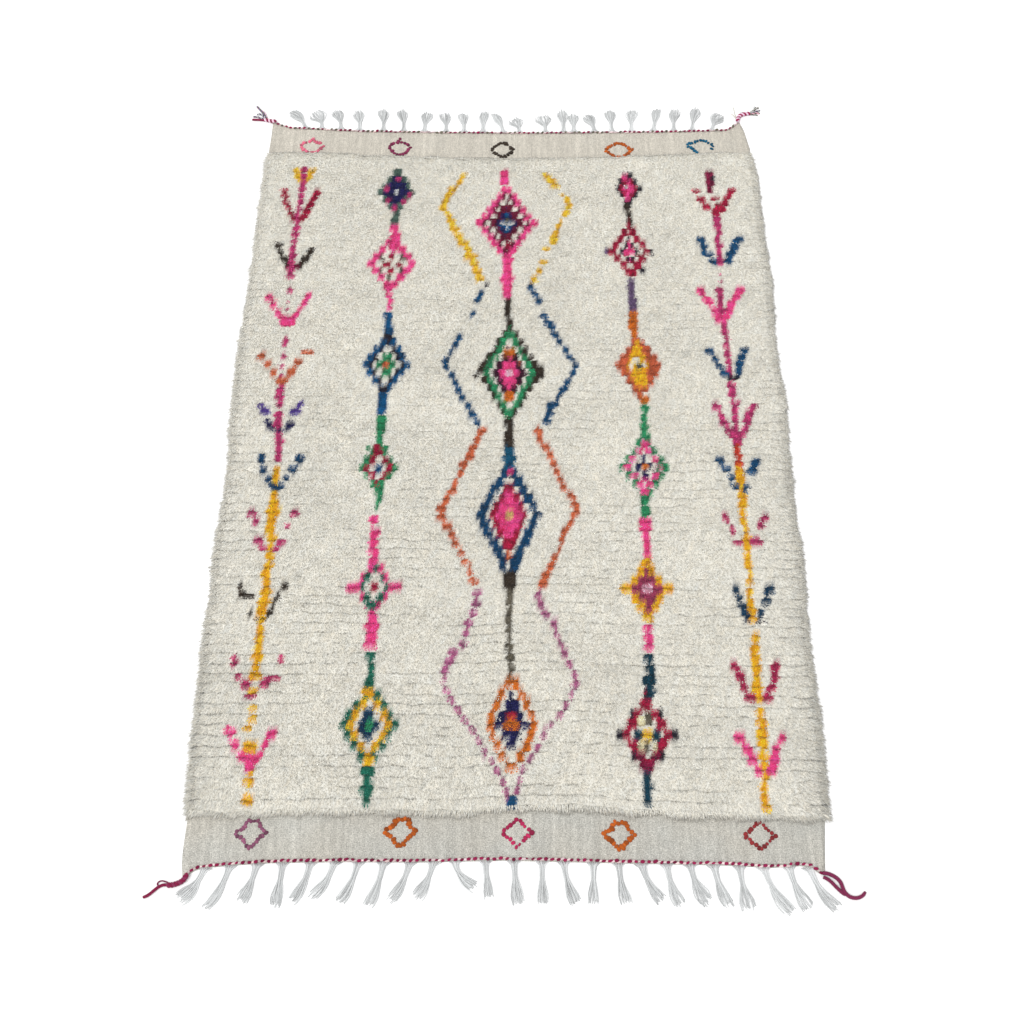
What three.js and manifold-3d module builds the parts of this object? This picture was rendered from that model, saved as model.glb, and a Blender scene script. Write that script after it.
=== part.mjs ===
// An azilal rug, laid out flat: a wool ground cloth with a flatwoven band at each end, shag pile
// between the bands, a twined edge cord over each end, a tasselled fringe and a yarn tail at each corner.
// Millimetres, +Z up, +Y towards the far end. The origin is the middle of the cloth's underside.
import * as THREE from 'three';
import { mergeVertices } from 'three/addons/utils/BufferGeometryUtils.js';
import Module from 'manifold-3d';

const wasm = await Module();
wasm.setup();

// Heights
const CLOTH_THICKNESS = 3;
const CLEARANCE = 0.3;
const PILE_BASE = CLOTH_THICKNESS + CLEARANCE;
const PILE_TOP = 20.5;
const PILE_SHOULDER = 17;
const PILE_RIM_HEIGHT = 9.5;

// Pile: knotted in rows across the rug, each row a low rib with a parting after it
const PILE_ROWS = 78;
const PILE_COLUMNS = 8;
const PILE_NEAR_Y = -1110;
const PILE_FAR_Y = 1122;
const PARTING_DEPTH = 3.2;
const PARTING_SCATTER = 0.25;
const ROW_WAVER = 5;
const WAVER_STRETCH = 150;
const WAVER_SHIFT = 0.31;
const LUMP_HEIGHT = 1.5;
const RIM_TUFT = 3;
const RIM_TUFT_SCATTER = 0.5;
const SHOULDER_INSET = 14;
const UNDERSIDE_INSET = 9;

// Locks that stick out at the pile's rim: every third row has one at each side
const ROWS_PER_LOCK = 3;
const SIDE_LOCK_REACH = 13;
const SIDE_LOCK_SCATTER = 0.25;
const SIDE_LOCK_TIP_HEIGHT = 7;
const NEAR_LOCKS = 28;
const FAR_LOCKS = 22;
const LOCKS_LEFT_X = -795;
const LOCKS_RIGHT_X = 812;
const LOCK_REACH = 7;
const LOCK_REACH_SCATTER = 5;
const LOCK_PLACE_SCATTER = 0.3;
const LOCK_LEAN = 6;
const LOCK_RADIUS = 6;
const LOCK_ROOT_DEPTH = 9;
const LOCK_ROOT_HEIGHT = 11.5;
const LOCK_TIP_HEIGHT = 6.5;
const LOCK_SIDES = 3;

// Edge cord and the strip that the tassels grow from
const STRIP_HALF_WIDTH = 5;
const CORD_BUMPS = 80;
const CORD_FAT_HALF_WIDTH = 3;
const CORD_FAT_HEIGHT = 5;
const CORD_THIN_HALF_WIDTH = 1.9;
const CORD_THIN_HEIGHT = 3.4;
const CORD_CORNERS = [
  { across: -0.6, up: 0 }, { across: 0.6, up: 0 }, { across: 1, up: 0.5 },
  { across: 0, up: 1 }, { across: -1, up: 0.5 },
];
const END_LINE_STEPS = 40;

// Tassels, with places along one as shares of its length
const ROOT_OVERLAP = 1;
const NECK_SHARE = 0.4;
const SPLIT_SHARE = 0.6;
const WIDEST_SHARE = 0.72;
const BEND_SHARE = 0.6;
const EARLY_LEAN = 0.3;
const FAN_SHARE = 0.94;
const SPLIT_FAN_SHARE = 0.66;
const TIP_SCATTER = 0.07;
const NECK_HALF_WIDTH = 3;
const NECK_HEIGHT = 5;
const BRUSH_HEIGHT = 3.6;
const STRAND_TIP_HEIGHT = 2;
const STRAND_TIP_HALF_WIDTH = 1.3;
const NEAR_STRANDS = 4;
const FAR_STRANDS = 3;

// Centre line of the twined edge cord at each end, from left to right
const NEAR_END_LINE = [
  { x: -788, y: -1266 }, { x: -770, y: -1252 }, { x: -742, y: -1245 }, { x: -677, y: -1239 },
  { x: -586, y: -1233 }, { x: -405, y: -1230 }, { x: -223, y: -1231 }, { x: 0, y: -1226 },
  { x: 182, y: -1230 }, { x: 364, y: -1234 }, { x: 545, y: -1237 }, { x: 667, y: -1243 },
  { x: 742, y: -1238 }, { x: 768, y: -1245 }, { x: 786, y: -1260 },
];
const FAR_END_LINE = [
  { x: -796, y: 1283 }, { x: -744, y: 1261 }, { x: -689, y: 1256 }, { x: -526, y: 1246 },
  { x: -400, y: 1241 }, { x: 0, y: 1236 }, { x: 242, y: 1238 }, { x: 394, y: 1240 },
  { x: 545, y: 1243 }, { x: 715, y: 1248 }, { x: 751, y: 1254 }, { x: 770, y: 1268 },
  { x: 787, y: 1284 },
];

// Selvedges of the ground cloth, from near to far
const CLOTH_LEFT = [
  { y: -1262, x: -797 }, { y: -1237, x: -802 }, { y: -1200, x: -804 }, { y: -1122, x: -802 },
  { y: 0, x: -801 }, { y: 1150, x: -803 }, { y: 1214, x: -801 }, { y: 1277, x: -801 },
];
const CLOTH_RIGHT = [
  { y: -1256, x: 796 }, { y: -1190, x: 803 }, { y: -1130, x: 810 }, { y: -600, x: 813 },
  { y: 0, x: 815 }, { y: 700, x: 818 }, { y: 1155, x: 819 }, { y: 1178, x: 815 },
  { y: 1238, x: 806 }, { y: 1279, x: 793 },
];

// Rim of the pile: its sides from near to far, its ends from left to right
const PILE_LEFT = [
  { y: -1118, x: -804 }, { y: -1060, x: -809 }, { y: -950, x: -812 }, { y: -700, x: -815 },
  { y: -590, x: -816 }, { y: -500, x: -809 }, { y: -420, x: -816 }, { y: -300, x: -813 },
  { y: -180, x: -807 }, { y: -50, x: -806 }, { y: 60, x: -817 }, { y: 350, x: -819 },
  { y: 560, x: -810 }, { y: 760, x: -809 }, { y: 1130, x: -807 },
];
const PILE_RIGHT = [
  { y: -1118, x: 819 }, { y: -1000, x: 822 }, { y: -860, x: 826 }, { y: -680, x: 819 },
  { y: -480, x: 826 }, { y: -350, x: 829 }, { y: -230, x: 822 }, { y: -10, x: 826 },
  { y: 150, x: 835 }, { y: 250, x: 826 }, { y: 390, x: 824 }, { y: 605, x: 836 },
  { y: 750, x: 828 }, { y: 905, x: 829 }, { y: 1050, x: 828 }, { y: 1135, x: 817 },
];
const PILE_NEAR = [
  { x: -800, y: -1111 }, { x: -640, y: -1113 }, { x: -500, y: -1107 }, { x: -300, y: -1107 },
  { x: -110, y: -1111 }, { x: -30, y: -1101 }, { x: 180, y: -1096 }, { x: 350, y: -1111 },
  { x: 450, y: -1113 }, { x: 600, y: -1117 }, { x: 720, y: -1122 }, { x: 820, y: -1121 },
];
const PILE_FAR = [
  { x: -800, y: 1134 }, { x: -600, y: 1136 }, { x: -450, y: 1122 }, { x: -300, y: 1117 },
  { x: -40, y: 1107 }, { x: 120, y: 1110 }, { x: 330, y: 1115 }, { x: 545, y: 1126 },
  { x: 727, y: 1137 }, { x: 820, y: 1135 },
];

// Tassels: root is the place along the end, lean how far the tip lies to the right of the root,
// reach how far it lies from the cord, spread the width of the brush, sweep how late it turns
const NEAR_TASSELS = [
  { root: -744, lean: -58, reach: 82, spread: 34, sweep: 0.3 },
  { root: -683, lean: -52, reach: 108, spread: 22, sweep: 0.3 },
  { root: -617, lean: -32, reach: 95, spread: 28, sweep: 0.4 },
  { root: -553, lean: -9, reach: 107, spread: 26, sweep: 0.5 },
  { root: -483, lean: -38, reach: 98, spread: 26, sweep: 0.4 },
  { root: -424, lean: -50, reach: 90, spread: 24, sweep: 0.3 },
  { root: -364, lean: -44, reach: 101, spread: 24, sweep: 0.3 },
  { root: -302, lean: -34, reach: 109, spread: 22, sweep: 0.4 },
  { root: -235, lean: -46, reach: 94, spread: 24, sweep: 0.3 },
  { root: -177, lean: -42, reach: 93, spread: 24, sweep: 0.3 },
  { root: -122, lean: 50, reach: 66, spread: 24, sweep: 1 },
  { root: -47, lean: 10, reach: 92, spread: 22, sweep: 0.5 },
  { root: 24, lean: 12, reach: 110, spread: 28, sweep: 0.5 },
  { root: 94, lean: 0, reach: 106, spread: 24, sweep: 0.5 },
  { root: 148, lean: 30, reach: 104, spread: 26, sweep: 0.6 },
  { root: 221, lean: -3, reach: 104, spread: 24, sweep: 0.5 },
  { root: 285, lean: 16, reach: 105, spread: 28, sweep: 0.5 },
  { root: 342, lean: 48, reach: 95, spread: 24, sweep: 0.4 },
  { root: 403, lean: 30, reach: 102, spread: 26, sweep: 0.4 },
  { root: 463, lean: 38, reach: 97, spread: 32, sweep: 0.5 },
  { root: 521, lean: 33, reach: 104, spread: 26, sweep: 0.3 },
  { root: 585, lean: 15, reach: 109, spread: 32, sweep: 0.5 },
  { root: 645, lean: 62, reach: 114, spread: 28, sweep: 0.4 },
  { root: 707, lean: 42, reach: 107, spread: 32, sweep: 0.4 },
  { root: 758, lean: 62, reach: 104, spread: 28, sweep: 0.3 },
];
const FAR_TASSELS = [
  { root: -689, lean: -52, reach: 78, spread: 30, sweep: 0.4 },
  { root: -632, lean: -30, reach: 82, spread: 42, sweep: 0.8 },
  { root: -567, lean: -25, reach: 92, spread: 26, sweep: 0.5 },
  { root: -503, lean: -12, reach: 94, spread: 26, sweep: 0.5 },
  { root: -422, lean: -9, reach: 104, spread: 28, sweep: 0.5 },
  { root: -353, lean: -12, reach: 103, spread: 26, sweep: 0.5 },
  { root: -282, lean: 8, reach: 91, spread: 28, sweep: 0.5 },
  { root: -208, lean: -9, reach: 91, spread: 28, sweep: 0.5 },
  { root: -147, lean: -9, reach: 88, spread: 26, sweep: 0.5 },
  { root: -83, lean: 6, reach: 98, spread: 24, sweep: 0.5 },
  { root: -14, lean: -33, reach: 88, spread: 20, sweep: 0.3 },
  { root: 42, lean: -20, reach: 66, spread: 36, sweep: 0.4 },
  { root: 130, lean: -12, reach: 80, spread: 40, sweep: 0.5 },
  { root: 192, lean: -4, reach: 104, spread: 26, sweep: 0.5 },
  { root: 226, lean: 0, reach: 86, spread: 24, sweep: 0.5 },
  { root: 297, lean: -26, reach: 80, spread: 30, sweep: 0.4 },
  { root: 356, lean: -7, reach: 99, spread: 28, sweep: 0.5 },
  { root: 422, lean: 7, reach: 102, spread: 28, sweep: 0.5 },
  { root: 498, lean: 22, reach: 106, spread: 22, sweep: 0.5 },
  { root: 566, lean: 12, reach: 103, spread: 30, sweep: 0.5 },
  { root: 630, lean: 24, reach: 107, spread: 26, sweep: 0.5 },
  { root: 697, lean: 38, reach: 73, spread: 34, sweep: 0.5 },
];

// Corner tails: the points that each yarn follows and the half-width of the yarn there. The first yarn
// of a tail carries on from the edge cord, and the others grow out of it
const TAILS = [
  {
    name: 'tail_near_left',
    yarns: [
      [
        { x: -806, y: -1281, half: 3.2 }, { x: -821, y: -1290, half: 3 }, { x: -844, y: -1296, half: 3 },
        { x: -862, y: -1309, half: 2.8 }, { x: -879, y: -1317, half: 2.8 }, { x: -891, y: -1322, half: 3.6 },
      ],
      [
        { x: -812, y: -1285, half: 2.4 }, { x: -830, y: -1286, half: 2.5 }, { x: -849, y: -1281, half: 2.5 },
        { x: -860, y: -1287, half: 2.5 }, { x: -853, y: -1300, half: 2.4 },
      ],
    ],
  },
  {
    name: 'tail_near_right',
    yarns: [
      [
        { x: 806, y: -1267, half: 3 }, { x: 823, y: -1275, half: 3 }, { x: 836, y: -1293, half: 3 },
        { x: 846, y: -1312, half: 3 }, { x: 860, y: -1321, half: 3.2 }, { x: 877, y: -1318, half: 3.2 },
        { x: 891, y: -1304, half: 3.4 },
      ],
      [
        { x: 801, y: -1267, half: 2.4 }, { x: 807, y: -1280, half: 2.6 }, { x: 820, y: -1298, half: 2.6 },
        { x: 844, y: -1311, half: 2.6 },
      ],
    ],
  },
  {
    name: 'tail_far_left',
    yarns: [
      [
        { x: -813, y: 1291, half: 5.5 }, { x: -828, y: 1297, half: 5.5 }, { x: -834, y: 1298, half: 3.5 },
      ],
      [
        { x: -826, y: 1294, half: 2 }, { x: -848, y: 1297, half: 2.4 }, { x: -877, y: 1301, half: 2 },
      ],
      [
        { x: -828, y: 1297, half: 2 }, { x: -848, y: 1309, half: 2 }, { x: -876, y: 1322, half: 1.6 },
      ],
      [
        { x: -826, y: 1299, half: 2 }, { x: -843, y: 1318, half: 2 }, { x: -860, y: 1336, half: 1.8 },
        { x: -868, y: 1361, half: 1.8 },
      ],
    ],
  },
  {
    name: 'tail_far_right',
    yarns: [
      [
        { x: 799, y: 1303, half: 4 }, { x: 809, y: 1317, half: 4.5 }, { x: 826, y: 1326, half: 4.5 },
        { x: 838, y: 1330, half: 3.5 },
      ],
      [
        { x: 832, y: 1330, half: 2 }, { x: 846, y: 1342, half: 2 }, { x: 858, y: 1358, half: 1.8 },
        { x: 868, y: 1365, half: 1.6 },
      ],
      [
        { x: 834, y: 1328, half: 2 }, { x: 852, y: 1336, half: 2 }, { x: 868, y: 1348, half: 1.8 },
      ],
      [
        { x: 832, y: 1326, half: 2 }, { x: 846, y: 1326, half: 2 }, { x: 862, y: 1327, half: 1.8 },
      ],
      [
        { x: 797, y: 1299, half: 2 }, { x: 789, y: 1318, half: 2 }, { x: 779, y: 1339, half: 2 },
        { x: 775, y: 1361, half: 1.6 },
      ],
    ],
  },
];
const TAIL_START_HALF_WIDTH = 2.6;
const TAIL_STRAIGHT = 8;
const TAIL_CORNERS = [
  { across: -1, up: 0 }, { across: -0.6, up: 1.5 }, { across: 0.6, up: 1.5 }, { across: 1, up: 0 },
];
const TAIL_STEP = 9;
const TAIL_DROP = [1, 0.9, 0.3];

// Colours of the wool
const CREAM = 0xdcd9cd;
const UNDYED = 0xc4beb3;
const MAGENTA = 0x8e2a55;
const GREY_WHITE = 0xd0d1d0;

// Straight-line reading of a table: value of column `to` where column `from` is `at`
function read(table, from, to, at) {
  const last = table.length - 1;
  if (at <= table[0][from]) return table[0][to];
  if (at >= table[last][from]) return table[last][to];
  const next = table.findIndex((row) => row[from] > at);
  const a = table[next - 1];
  const b = table[next];
  return THREE.MathUtils.mapLinear(at, a[from], b[from], a[to], b[to]);
}

// An even scatter between -1 and 1 that is the same in every build
function scatter(seed) {
  const wave = Math.sin(seed * 12.9898 + 4.1414) * 43758.5453;
  return 2 * (wave - Math.floor(wave)) - 1;
}

// Slow rise and fall over the rug, between about -1 and 1
function lumps(x, y) {
  const broad = Math.sin(x / 97 + 1.3 * Math.sin(y / 161)) * Math.sin(y / 83 + 0.7);
  const fine = Math.sin(x / 41 + y / 57) * Math.sin(y / 29 - x / 113);
  return 0.6 * broad + 0.4 * fine;
}

// Closed skin over a run of rings with the same number of points, with flat ends
function loft(rings) {
  const count = rings[0].length;
  const position = [];
  const index = [];
  for (const ring of rings) {
    for (const point of ring) position.push(point.x, point.y, point.z);
  }
  for (let r = 0; r < rings.length - 1; r += 1) {
    for (let k = 0; k < count; k += 1) {
      const a = r * count + k;
      const b = r * count + ((k + 1) % count);
      index.push(a, b, a + count, b, b + count, a + count);
    }
  }
  const top = (rings.length - 1) * count;
  for (let k = 1; k < count - 1; k += 1) {
    index.push(0, k + 1, k);
    index.push(top, top + k, top + k + 1);
  }
  const geometry = new THREE.BufferGeometry();
  geometry.setAttribute('position', new THREE.Float32BufferAttribute(position, 3));
  geometry.setIndex(index);
  return geometry;
}

function toManifold(geometry) {
  const bare = geometry.clone();
  bare.deleteAttribute('normal');
  bare.deleteAttribute('uv');
  const merged = mergeVertices(bare, 1e-4);
  return new wasm.Manifold(new wasm.Mesh({
    numProp: 3,
    vertProperties: new Float32Array(merged.attributes.position.array),
    triVerts: new Uint32Array(merged.index.array),
  }));
}

function toGeometry(manifold) {
  const mesh = manifold.getMesh();
  const geometry = new THREE.BufferGeometry();
  geometry.setAttribute('position', new THREE.Float32BufferAttribute(mesh.vertProperties, 3));
  geometry.setIndex(new THREE.Uint32BufferAttribute(mesh.triVerts, 1));
  return geometry;
}

function join(geometries) {
  let whole = toManifold(geometries[0]);
  for (const geometry of geometries.slice(1)) whole = whole.add(toManifold(geometry));
  return toGeometry(whole);
}

// A flat solid of an outline, standing on the floor
function slab(outline, thickness) {
  const shape = new THREE.Shape(outline.map((p) => new THREE.Vector2(p.x, p.y)));
  return new THREE.ExtrudeGeometry(shape, { depth: thickness, bevelEnabled: false });
}

// Points evenly spaced along an end line, with the direction that points off the rug
function endFrames(line, outward, steps) {
  const points = line.map((p) => new THREE.Vector3(p.x, p.y, 0));
  const curve = new THREE.CatmullRomCurve3(points, false, 'centripetal');
  const frames = [];
  for (let i = 0; i <= steps; i += 1) {
    const point = curve.getPointAt(i / steps);
    const along = curve.getTangentAt(i / steps);
    frames.push({ point, along, out: new THREE.Vector3(-along.y * outward, along.x * outward, 0) });
  }
  return frames;
}

function offset(frames, distance) {
  return frames.map((f) => f.point.clone().addScaledVector(f.out, distance));
}

const nearFrames = endFrames(NEAR_END_LINE, -1, END_LINE_STEPS);
const farFrames = endFrames(FAR_END_LINE, 1, END_LINE_STEPS);

// Ground cloth: its ends stop short of the strips that carry the tassels
function groundCloth() {
  const inset = -(STRIP_HALF_WIDTH + CLEARANCE);
  const outline = [
    ...offset(nearFrames, inset),
    ...CLOTH_RIGHT.slice(1, -1),
    ...offset(farFrames, inset).reverse(),
    ...CLOTH_LEFT.slice(1, -1).reverse(),
  ];
  return slab(outline, CLOTH_THICKNESS);
}

// One cross-section of the pile, from the left underside over the top to the right underside
function pileSection(line) {
  const share = line / (2 * PILE_ROWS);
  const isEnd = line === 0 || line === 2 * PILE_ROWS;
  const isParting = line % 2 === 0;
  const middleY = THREE.MathUtils.lerp(PILE_NEAR_Y, PILE_FAR_Y, share);
  const left = read(PILE_LEFT, 'y', 'x', middleY);
  const right = read(PILE_RIGHT, 'y', 'x', middleY);
  const place = (x) => {
    const near = read(PILE_NEAR, 'x', 'y', x);
    const far = read(PILE_FAR, 'x', 'y', x);
    const wave = Math.sin(x / WAVER_STRETCH + line * WAVER_SHIFT);
    return THREE.MathUtils.lerp(near, far, share) + ROW_WAVER * wave * Math.sin(Math.PI * share);
  };
  const row = (line - 1) / 2;
  const rim = (side) => {
    const chance = scatter(line + side * PILE_ROWS * 2);
    const hasLock = (row + side) % ROWS_PER_LOCK === 0;
    if (isParting) return { out: -RIM_TUFT, z: PILE_RIM_HEIGHT };
    if (hasLock) return { out: SIDE_LOCK_REACH * (1 + SIDE_LOCK_SCATTER * chance), z: SIDE_LOCK_TIP_HEIGHT };
    return { out: RIM_TUFT * (1 + RIM_TUFT_SCATTER * chance), z: PILE_RIM_HEIGHT };
  };
  const leftRim = rim(0);
  const rightRim = rim(1);
  const ring = [];
  ring.push(new THREE.Vector3(left + UNDERSIDE_INSET, place(left), PILE_BASE));
  ring.push(new THREE.Vector3(left - leftRim.out, place(left), leftRim.z));
  for (let c = 0; c <= PILE_COLUMNS; c += 1) {
    const x = THREE.MathUtils.lerp(left + SHOULDER_INSET, right - SHOULDER_INSET, c / PILE_COLUMNS);
    const depth = PARTING_DEPTH * (1 + PARTING_SCATTER * (scatter(line * PILE_ROWS + c) - 1));
    const crown = c === 0 || c === PILE_COLUMNS ? PILE_SHOULDER : PILE_TOP;
    const ridge = crown + LUMP_HEIGHT * lumps(x, place(x));
    const z = isParting ? ridge - depth : ridge;
    ring.push(new THREE.Vector3(x, place(x), isEnd ? PILE_RIM_HEIGHT : z));
  }
  ring.push(new THREE.Vector3(right + rightRim.out, place(right), rightRim.z));
  ring.push(new THREE.Vector3(right - UNDERSIDE_INSET, place(right), PILE_BASE));
  return ring;
}

// A three-sided lock from inside the rim at `root` to `tip`
function lock(root, tip) {
  const length = root.distanceTo(tip);
  const cone = new THREE.ConeGeometry(LOCK_RADIUS, length, LOCK_SIDES);
  cone.translate(0, length / 2, 0);
  const direction = tip.clone().sub(root).normalize();
  cone.applyQuaternion(new THREE.Quaternion().setFromUnitVectors(new THREE.Vector3(0, 1, 0), direction));
  cone.translate(root.x, root.y, root.z);
  return cone;
}

function endLocks(table, outward, count, seed) {
  const locks = [];
  for (let i = 0; i < count; i += 1) {
    const share = (i + 0.5 + LOCK_PLACE_SCATTER * scatter(seed + i)) / count;
    const x = THREE.MathUtils.lerp(LOCKS_LEFT_X, LOCKS_RIGHT_X, share);
    const rim = read(table, 'x', 'y', x);
    const length = LOCK_REACH + LOCK_REACH_SCATTER * Math.abs(scatter(seed + i * 7));
    const tipX = x + LOCK_LEAN * scatter(seed + i * 3);
    const root = new THREE.Vector3(x, rim - outward * LOCK_ROOT_DEPTH, LOCK_ROOT_HEIGHT);
    locks.push(lock(root, new THREE.Vector3(tipX, rim + outward * length, LOCK_TIP_HEIGHT)));
  }
  return locks;
}

function pile() {
  const rings = [];
  for (let line = 0; line <= 2 * PILE_ROWS; line += 1) rings.push(pileSection(line));
  return join([
    loft(rings),
    ...endLocks(PILE_NEAR, -1, NEAR_LOCKS, 300),
    ...endLocks(PILE_FAR, 1, FAR_LOCKS, 400),
  ]);
}

// Edge cord: a fat and a thin section for each turn of the twist, flat underneath
function edgeCord(line, outward) {
  const frames = endFrames(line, outward, 2 * CORD_BUMPS);
  const rings = frames.map((frame, i) => {
    const isFat = i % 2 === 1;
    const half = isFat ? CORD_FAT_HALF_WIDTH : CORD_THIN_HALF_WIDTH;
    const height = isFat ? CORD_FAT_HEIGHT : CORD_THIN_HEIGHT;
    const ring = CORD_CORNERS.map((corner) => {
      const point = frame.point.clone().addScaledVector(frame.out, corner.across * half);
      point.z = PILE_BASE + corner.up * height;
      return point;
    });
    return outward > 0 ? ring : ring.reverse();
  });
  return loft(rings);
}

// Tassel: a narrow neck that opens into a brush of strands, all lying level on the floor
function tassel(spec, line, outward, strands) {
  const rootY = read(line, 'x', 'y', spec.root) + outward * (STRIP_HALF_WIDTH - ROOT_OVERLAP);
  const bendX = spec.root + spec.lean * EARLY_LEAN * (1 - spec.sweep);
  const spine = new THREE.QuadraticBezierCurve3(
    new THREE.Vector3(spec.root, rootY, 0),
    new THREE.Vector3(bendX, rootY + outward * spec.reach * BEND_SHARE, 0),
    new THREE.Vector3(spec.root + spec.lean, rootY + outward * spec.reach, 0),
  );
  const points = [];
  const add = (along, across, height) => {
    const middle = spine.getPoint(along);
    const tangent = spine.getTangent(along);
    const side = new THREE.Vector3(tangent.y, -tangent.x, 0).multiplyScalar(outward);
    const point = middle.addScaledVector(side, across);
    points.push({ x: point.x, y: point.y, height });
  };
  const half = spec.spread / 2;
  const fan = (k, share) => THREE.MathUtils.lerp(-half, half, k / (strands - 1)) * share;
  add(0, -NECK_HALF_WIDTH, CLOTH_THICKNESS);
  add(NECK_SHARE, -NECK_HALF_WIDTH, NECK_HEIGHT);
  add(WIDEST_SHARE, -half, BRUSH_HEIGHT);
  for (let k = 0; k < strands; k += 1) {
    const centre = fan(k, FAN_SHARE);
    const tipShare = 1 - TIP_SCATTER * Math.abs(scatter(spec.root + k));
    add(tipShare, centre - STRAND_TIP_HALF_WIDTH, STRAND_TIP_HEIGHT);
    add(tipShare, centre + STRAND_TIP_HALF_WIDTH, STRAND_TIP_HEIGHT);
    if (k < strands - 1) add(SPLIT_SHARE, fan(k + 0.5, SPLIT_FAN_SHARE), BRUSH_HEIGHT);
  }
  add(WIDEST_SHARE, half, BRUSH_HEIGHT);
  add(NECK_SHARE, NECK_HALF_WIDTH, NECK_HEIGHT);
  add(0, NECK_HALF_WIDTH, CLOTH_THICKNESS);
  return raise(points);
}

// A slab whose top is at each outline point's own height
function raise(points) {
  const geometry = slab(points, 1);
  const position = geometry.attributes.position;
  for (let i = 0; i < position.count; i += 1) {
    if (position.getZ(i) > 0.5) {
      const x = position.getX(i);
      const y = position.getY(i);
      const source = points.find((p) => Math.hypot(p.x - x, p.y - y) < 0.01);
      position.setZ(i, source.height);
    }
  }
  return geometry;
}

function fringe(specs, line, frames, outward, strands) {
  const strip = slab([
    ...offset(frames, -STRIP_HALF_WIDTH),
    ...offset(frames, STRIP_HALF_WIDTH).reverse(),
  ], CLOTH_THICKNESS);
  return join([strip, ...specs.map((spec) => tassel(spec, line, outward, strands))]);
}

// Yarn lying on the floor along a route, with its half-width carried as the curve's third coordinate.
// A lifted yarn starts at the height of the edge cord and comes down beside the cloth
function yarn(route, lifted) {
  const points = route.map((p) => new THREE.Vector3(p.x, p.y, p.half));
  const curve = new THREE.CatmullRomCurve3(points, false, 'centripetal');
  const steps = Math.max(2, Math.round(curve.getLength() / TAIL_STEP));
  const rings = [];
  for (let i = 0; i <= steps; i += 1) {
    const centre = curve.getPointAt(i / steps);
    const tangent = curve.getTangentAt(i / steps);
    const half = centre.z;
    const side = new THREE.Vector3(tangent.y, -tangent.x, 0).normalize();
    const base = lifted ? PILE_BASE * (TAIL_DROP[i] ?? 0) : 0;
    const ring = [];
    for (const corner of TAIL_CORNERS) {
      const height = base + corner.up * half;
      ring.push(new THREE.Vector3(centre.x, centre.y, height).addScaledVector(side, corner.across * half));
    }
    rings.push(ring);
  }
  return loft(rings);
}

// Tail of a corner, straight on from the edge cord's end for its first stretch
function tail(yarns, end, away) {
  const start = [CLEARANCE, TAIL_STRAIGHT].map((distance) => {
    const point = end.point.clone().addScaledVector(end.along, away * distance);
    return { x: point.x, y: point.y, half: TAIL_START_HALF_WIDTH };
  });
  return join(yarns.map((route, i) => (i === 0 ? yarn([...start, ...route], true) : yarn(route, false))));
}

function wool(colour) {
  return new THREE.MeshStandardMaterial({ color: colour, roughness: 0.95, metalness: 0 });
}

const rug = new THREE.Group();

function add(name, geometry, colour) {
  const mesh = new THREE.Mesh(geometry, wool(colour));
  mesh.name = name;
  rug.add(mesh);
}

add('ground_weave', groundCloth(), UNDYED);
add('pile', pile(), CREAM);
add('twining_near', edgeCord(NEAR_END_LINE, -1), MAGENTA);
add('twining_far', edgeCord(FAR_END_LINE, 1), MAGENTA);
add('fringe_near', fringe(NEAR_TASSELS, NEAR_END_LINE, nearFrames, -1, NEAR_STRANDS), GREY_WHITE);
add('fringe_far', fringe(FAR_TASSELS, FAR_END_LINE, farFrames, 1, FAR_STRANDS), GREY_WHITE);
const cordEnds = [
  { frame: nearFrames[0], away: -1 },
  { frame: nearFrames[END_LINE_STEPS], away: 1 },
  { frame: farFrames[0], away: -1 },
  { frame: farFrames[END_LINE_STEPS], away: 1 },
];
TAILS.forEach(({ name, yarns }, i) => add(name, tail(yarns, cordEnds[i].frame, cordEnds[i].away), MAGENTA));

export default rug;
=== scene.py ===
# An azilal rug laid out flat on a pale floor: cream shag with coloured motifs between two flatwoven
# bands, a twined edge cord and tassels at each end, and a tail of yarn at each corner.
# Tables of places and sizes are in millimetres in the rug's frame, and MM turns them to metres.
import math
from collections import namedtuple

import bmesh
import bpy
import numpy as np
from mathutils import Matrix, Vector


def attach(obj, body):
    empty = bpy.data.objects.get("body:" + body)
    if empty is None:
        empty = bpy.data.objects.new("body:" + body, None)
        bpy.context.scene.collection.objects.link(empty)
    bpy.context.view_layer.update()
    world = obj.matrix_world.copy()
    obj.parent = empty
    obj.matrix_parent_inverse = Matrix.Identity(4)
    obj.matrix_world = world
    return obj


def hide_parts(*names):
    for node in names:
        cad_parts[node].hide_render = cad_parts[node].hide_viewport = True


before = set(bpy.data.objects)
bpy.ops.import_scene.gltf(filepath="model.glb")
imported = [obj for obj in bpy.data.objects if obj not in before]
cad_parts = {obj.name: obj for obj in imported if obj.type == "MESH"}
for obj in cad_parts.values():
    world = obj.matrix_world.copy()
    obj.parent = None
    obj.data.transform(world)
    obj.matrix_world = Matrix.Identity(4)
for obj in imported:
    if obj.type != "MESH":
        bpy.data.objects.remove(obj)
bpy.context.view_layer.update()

MM = 0.001
chance = np.random.default_rng(1716)

# Heights: the pile and the edge cords stand just clear of the cloth
CLOTH_TOP = 3.0
CLEARANCE = 0.3
ON_CLOTH = CLOTH_TOP + CLEARANCE
BED_TOP = 15.0
TIP_HEIGHT = 20.0

# Straight extents: along the cloth and the pile, and across the strips of shag
CLOTH_START = -1262
CLOTH_LENGTH = 2539
PILE_START = -1110
PILE_LENGTH = 2232
STRIPS = 8
STRIPS_START = -812
STRIPS_WIDTH = 1636

# Pile: rows of knots across the rug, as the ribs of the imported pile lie
PILE_ROWS = 78
ROW_WAVER = 5
WAVER_STRETCH = 150
WAVER_SHIFT = 0.31
ROW_WOBBLE = 3.6
TUFT_SPACING = 4.65
TUFTS_DEEP = 6
PILE_INSET = 3

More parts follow.
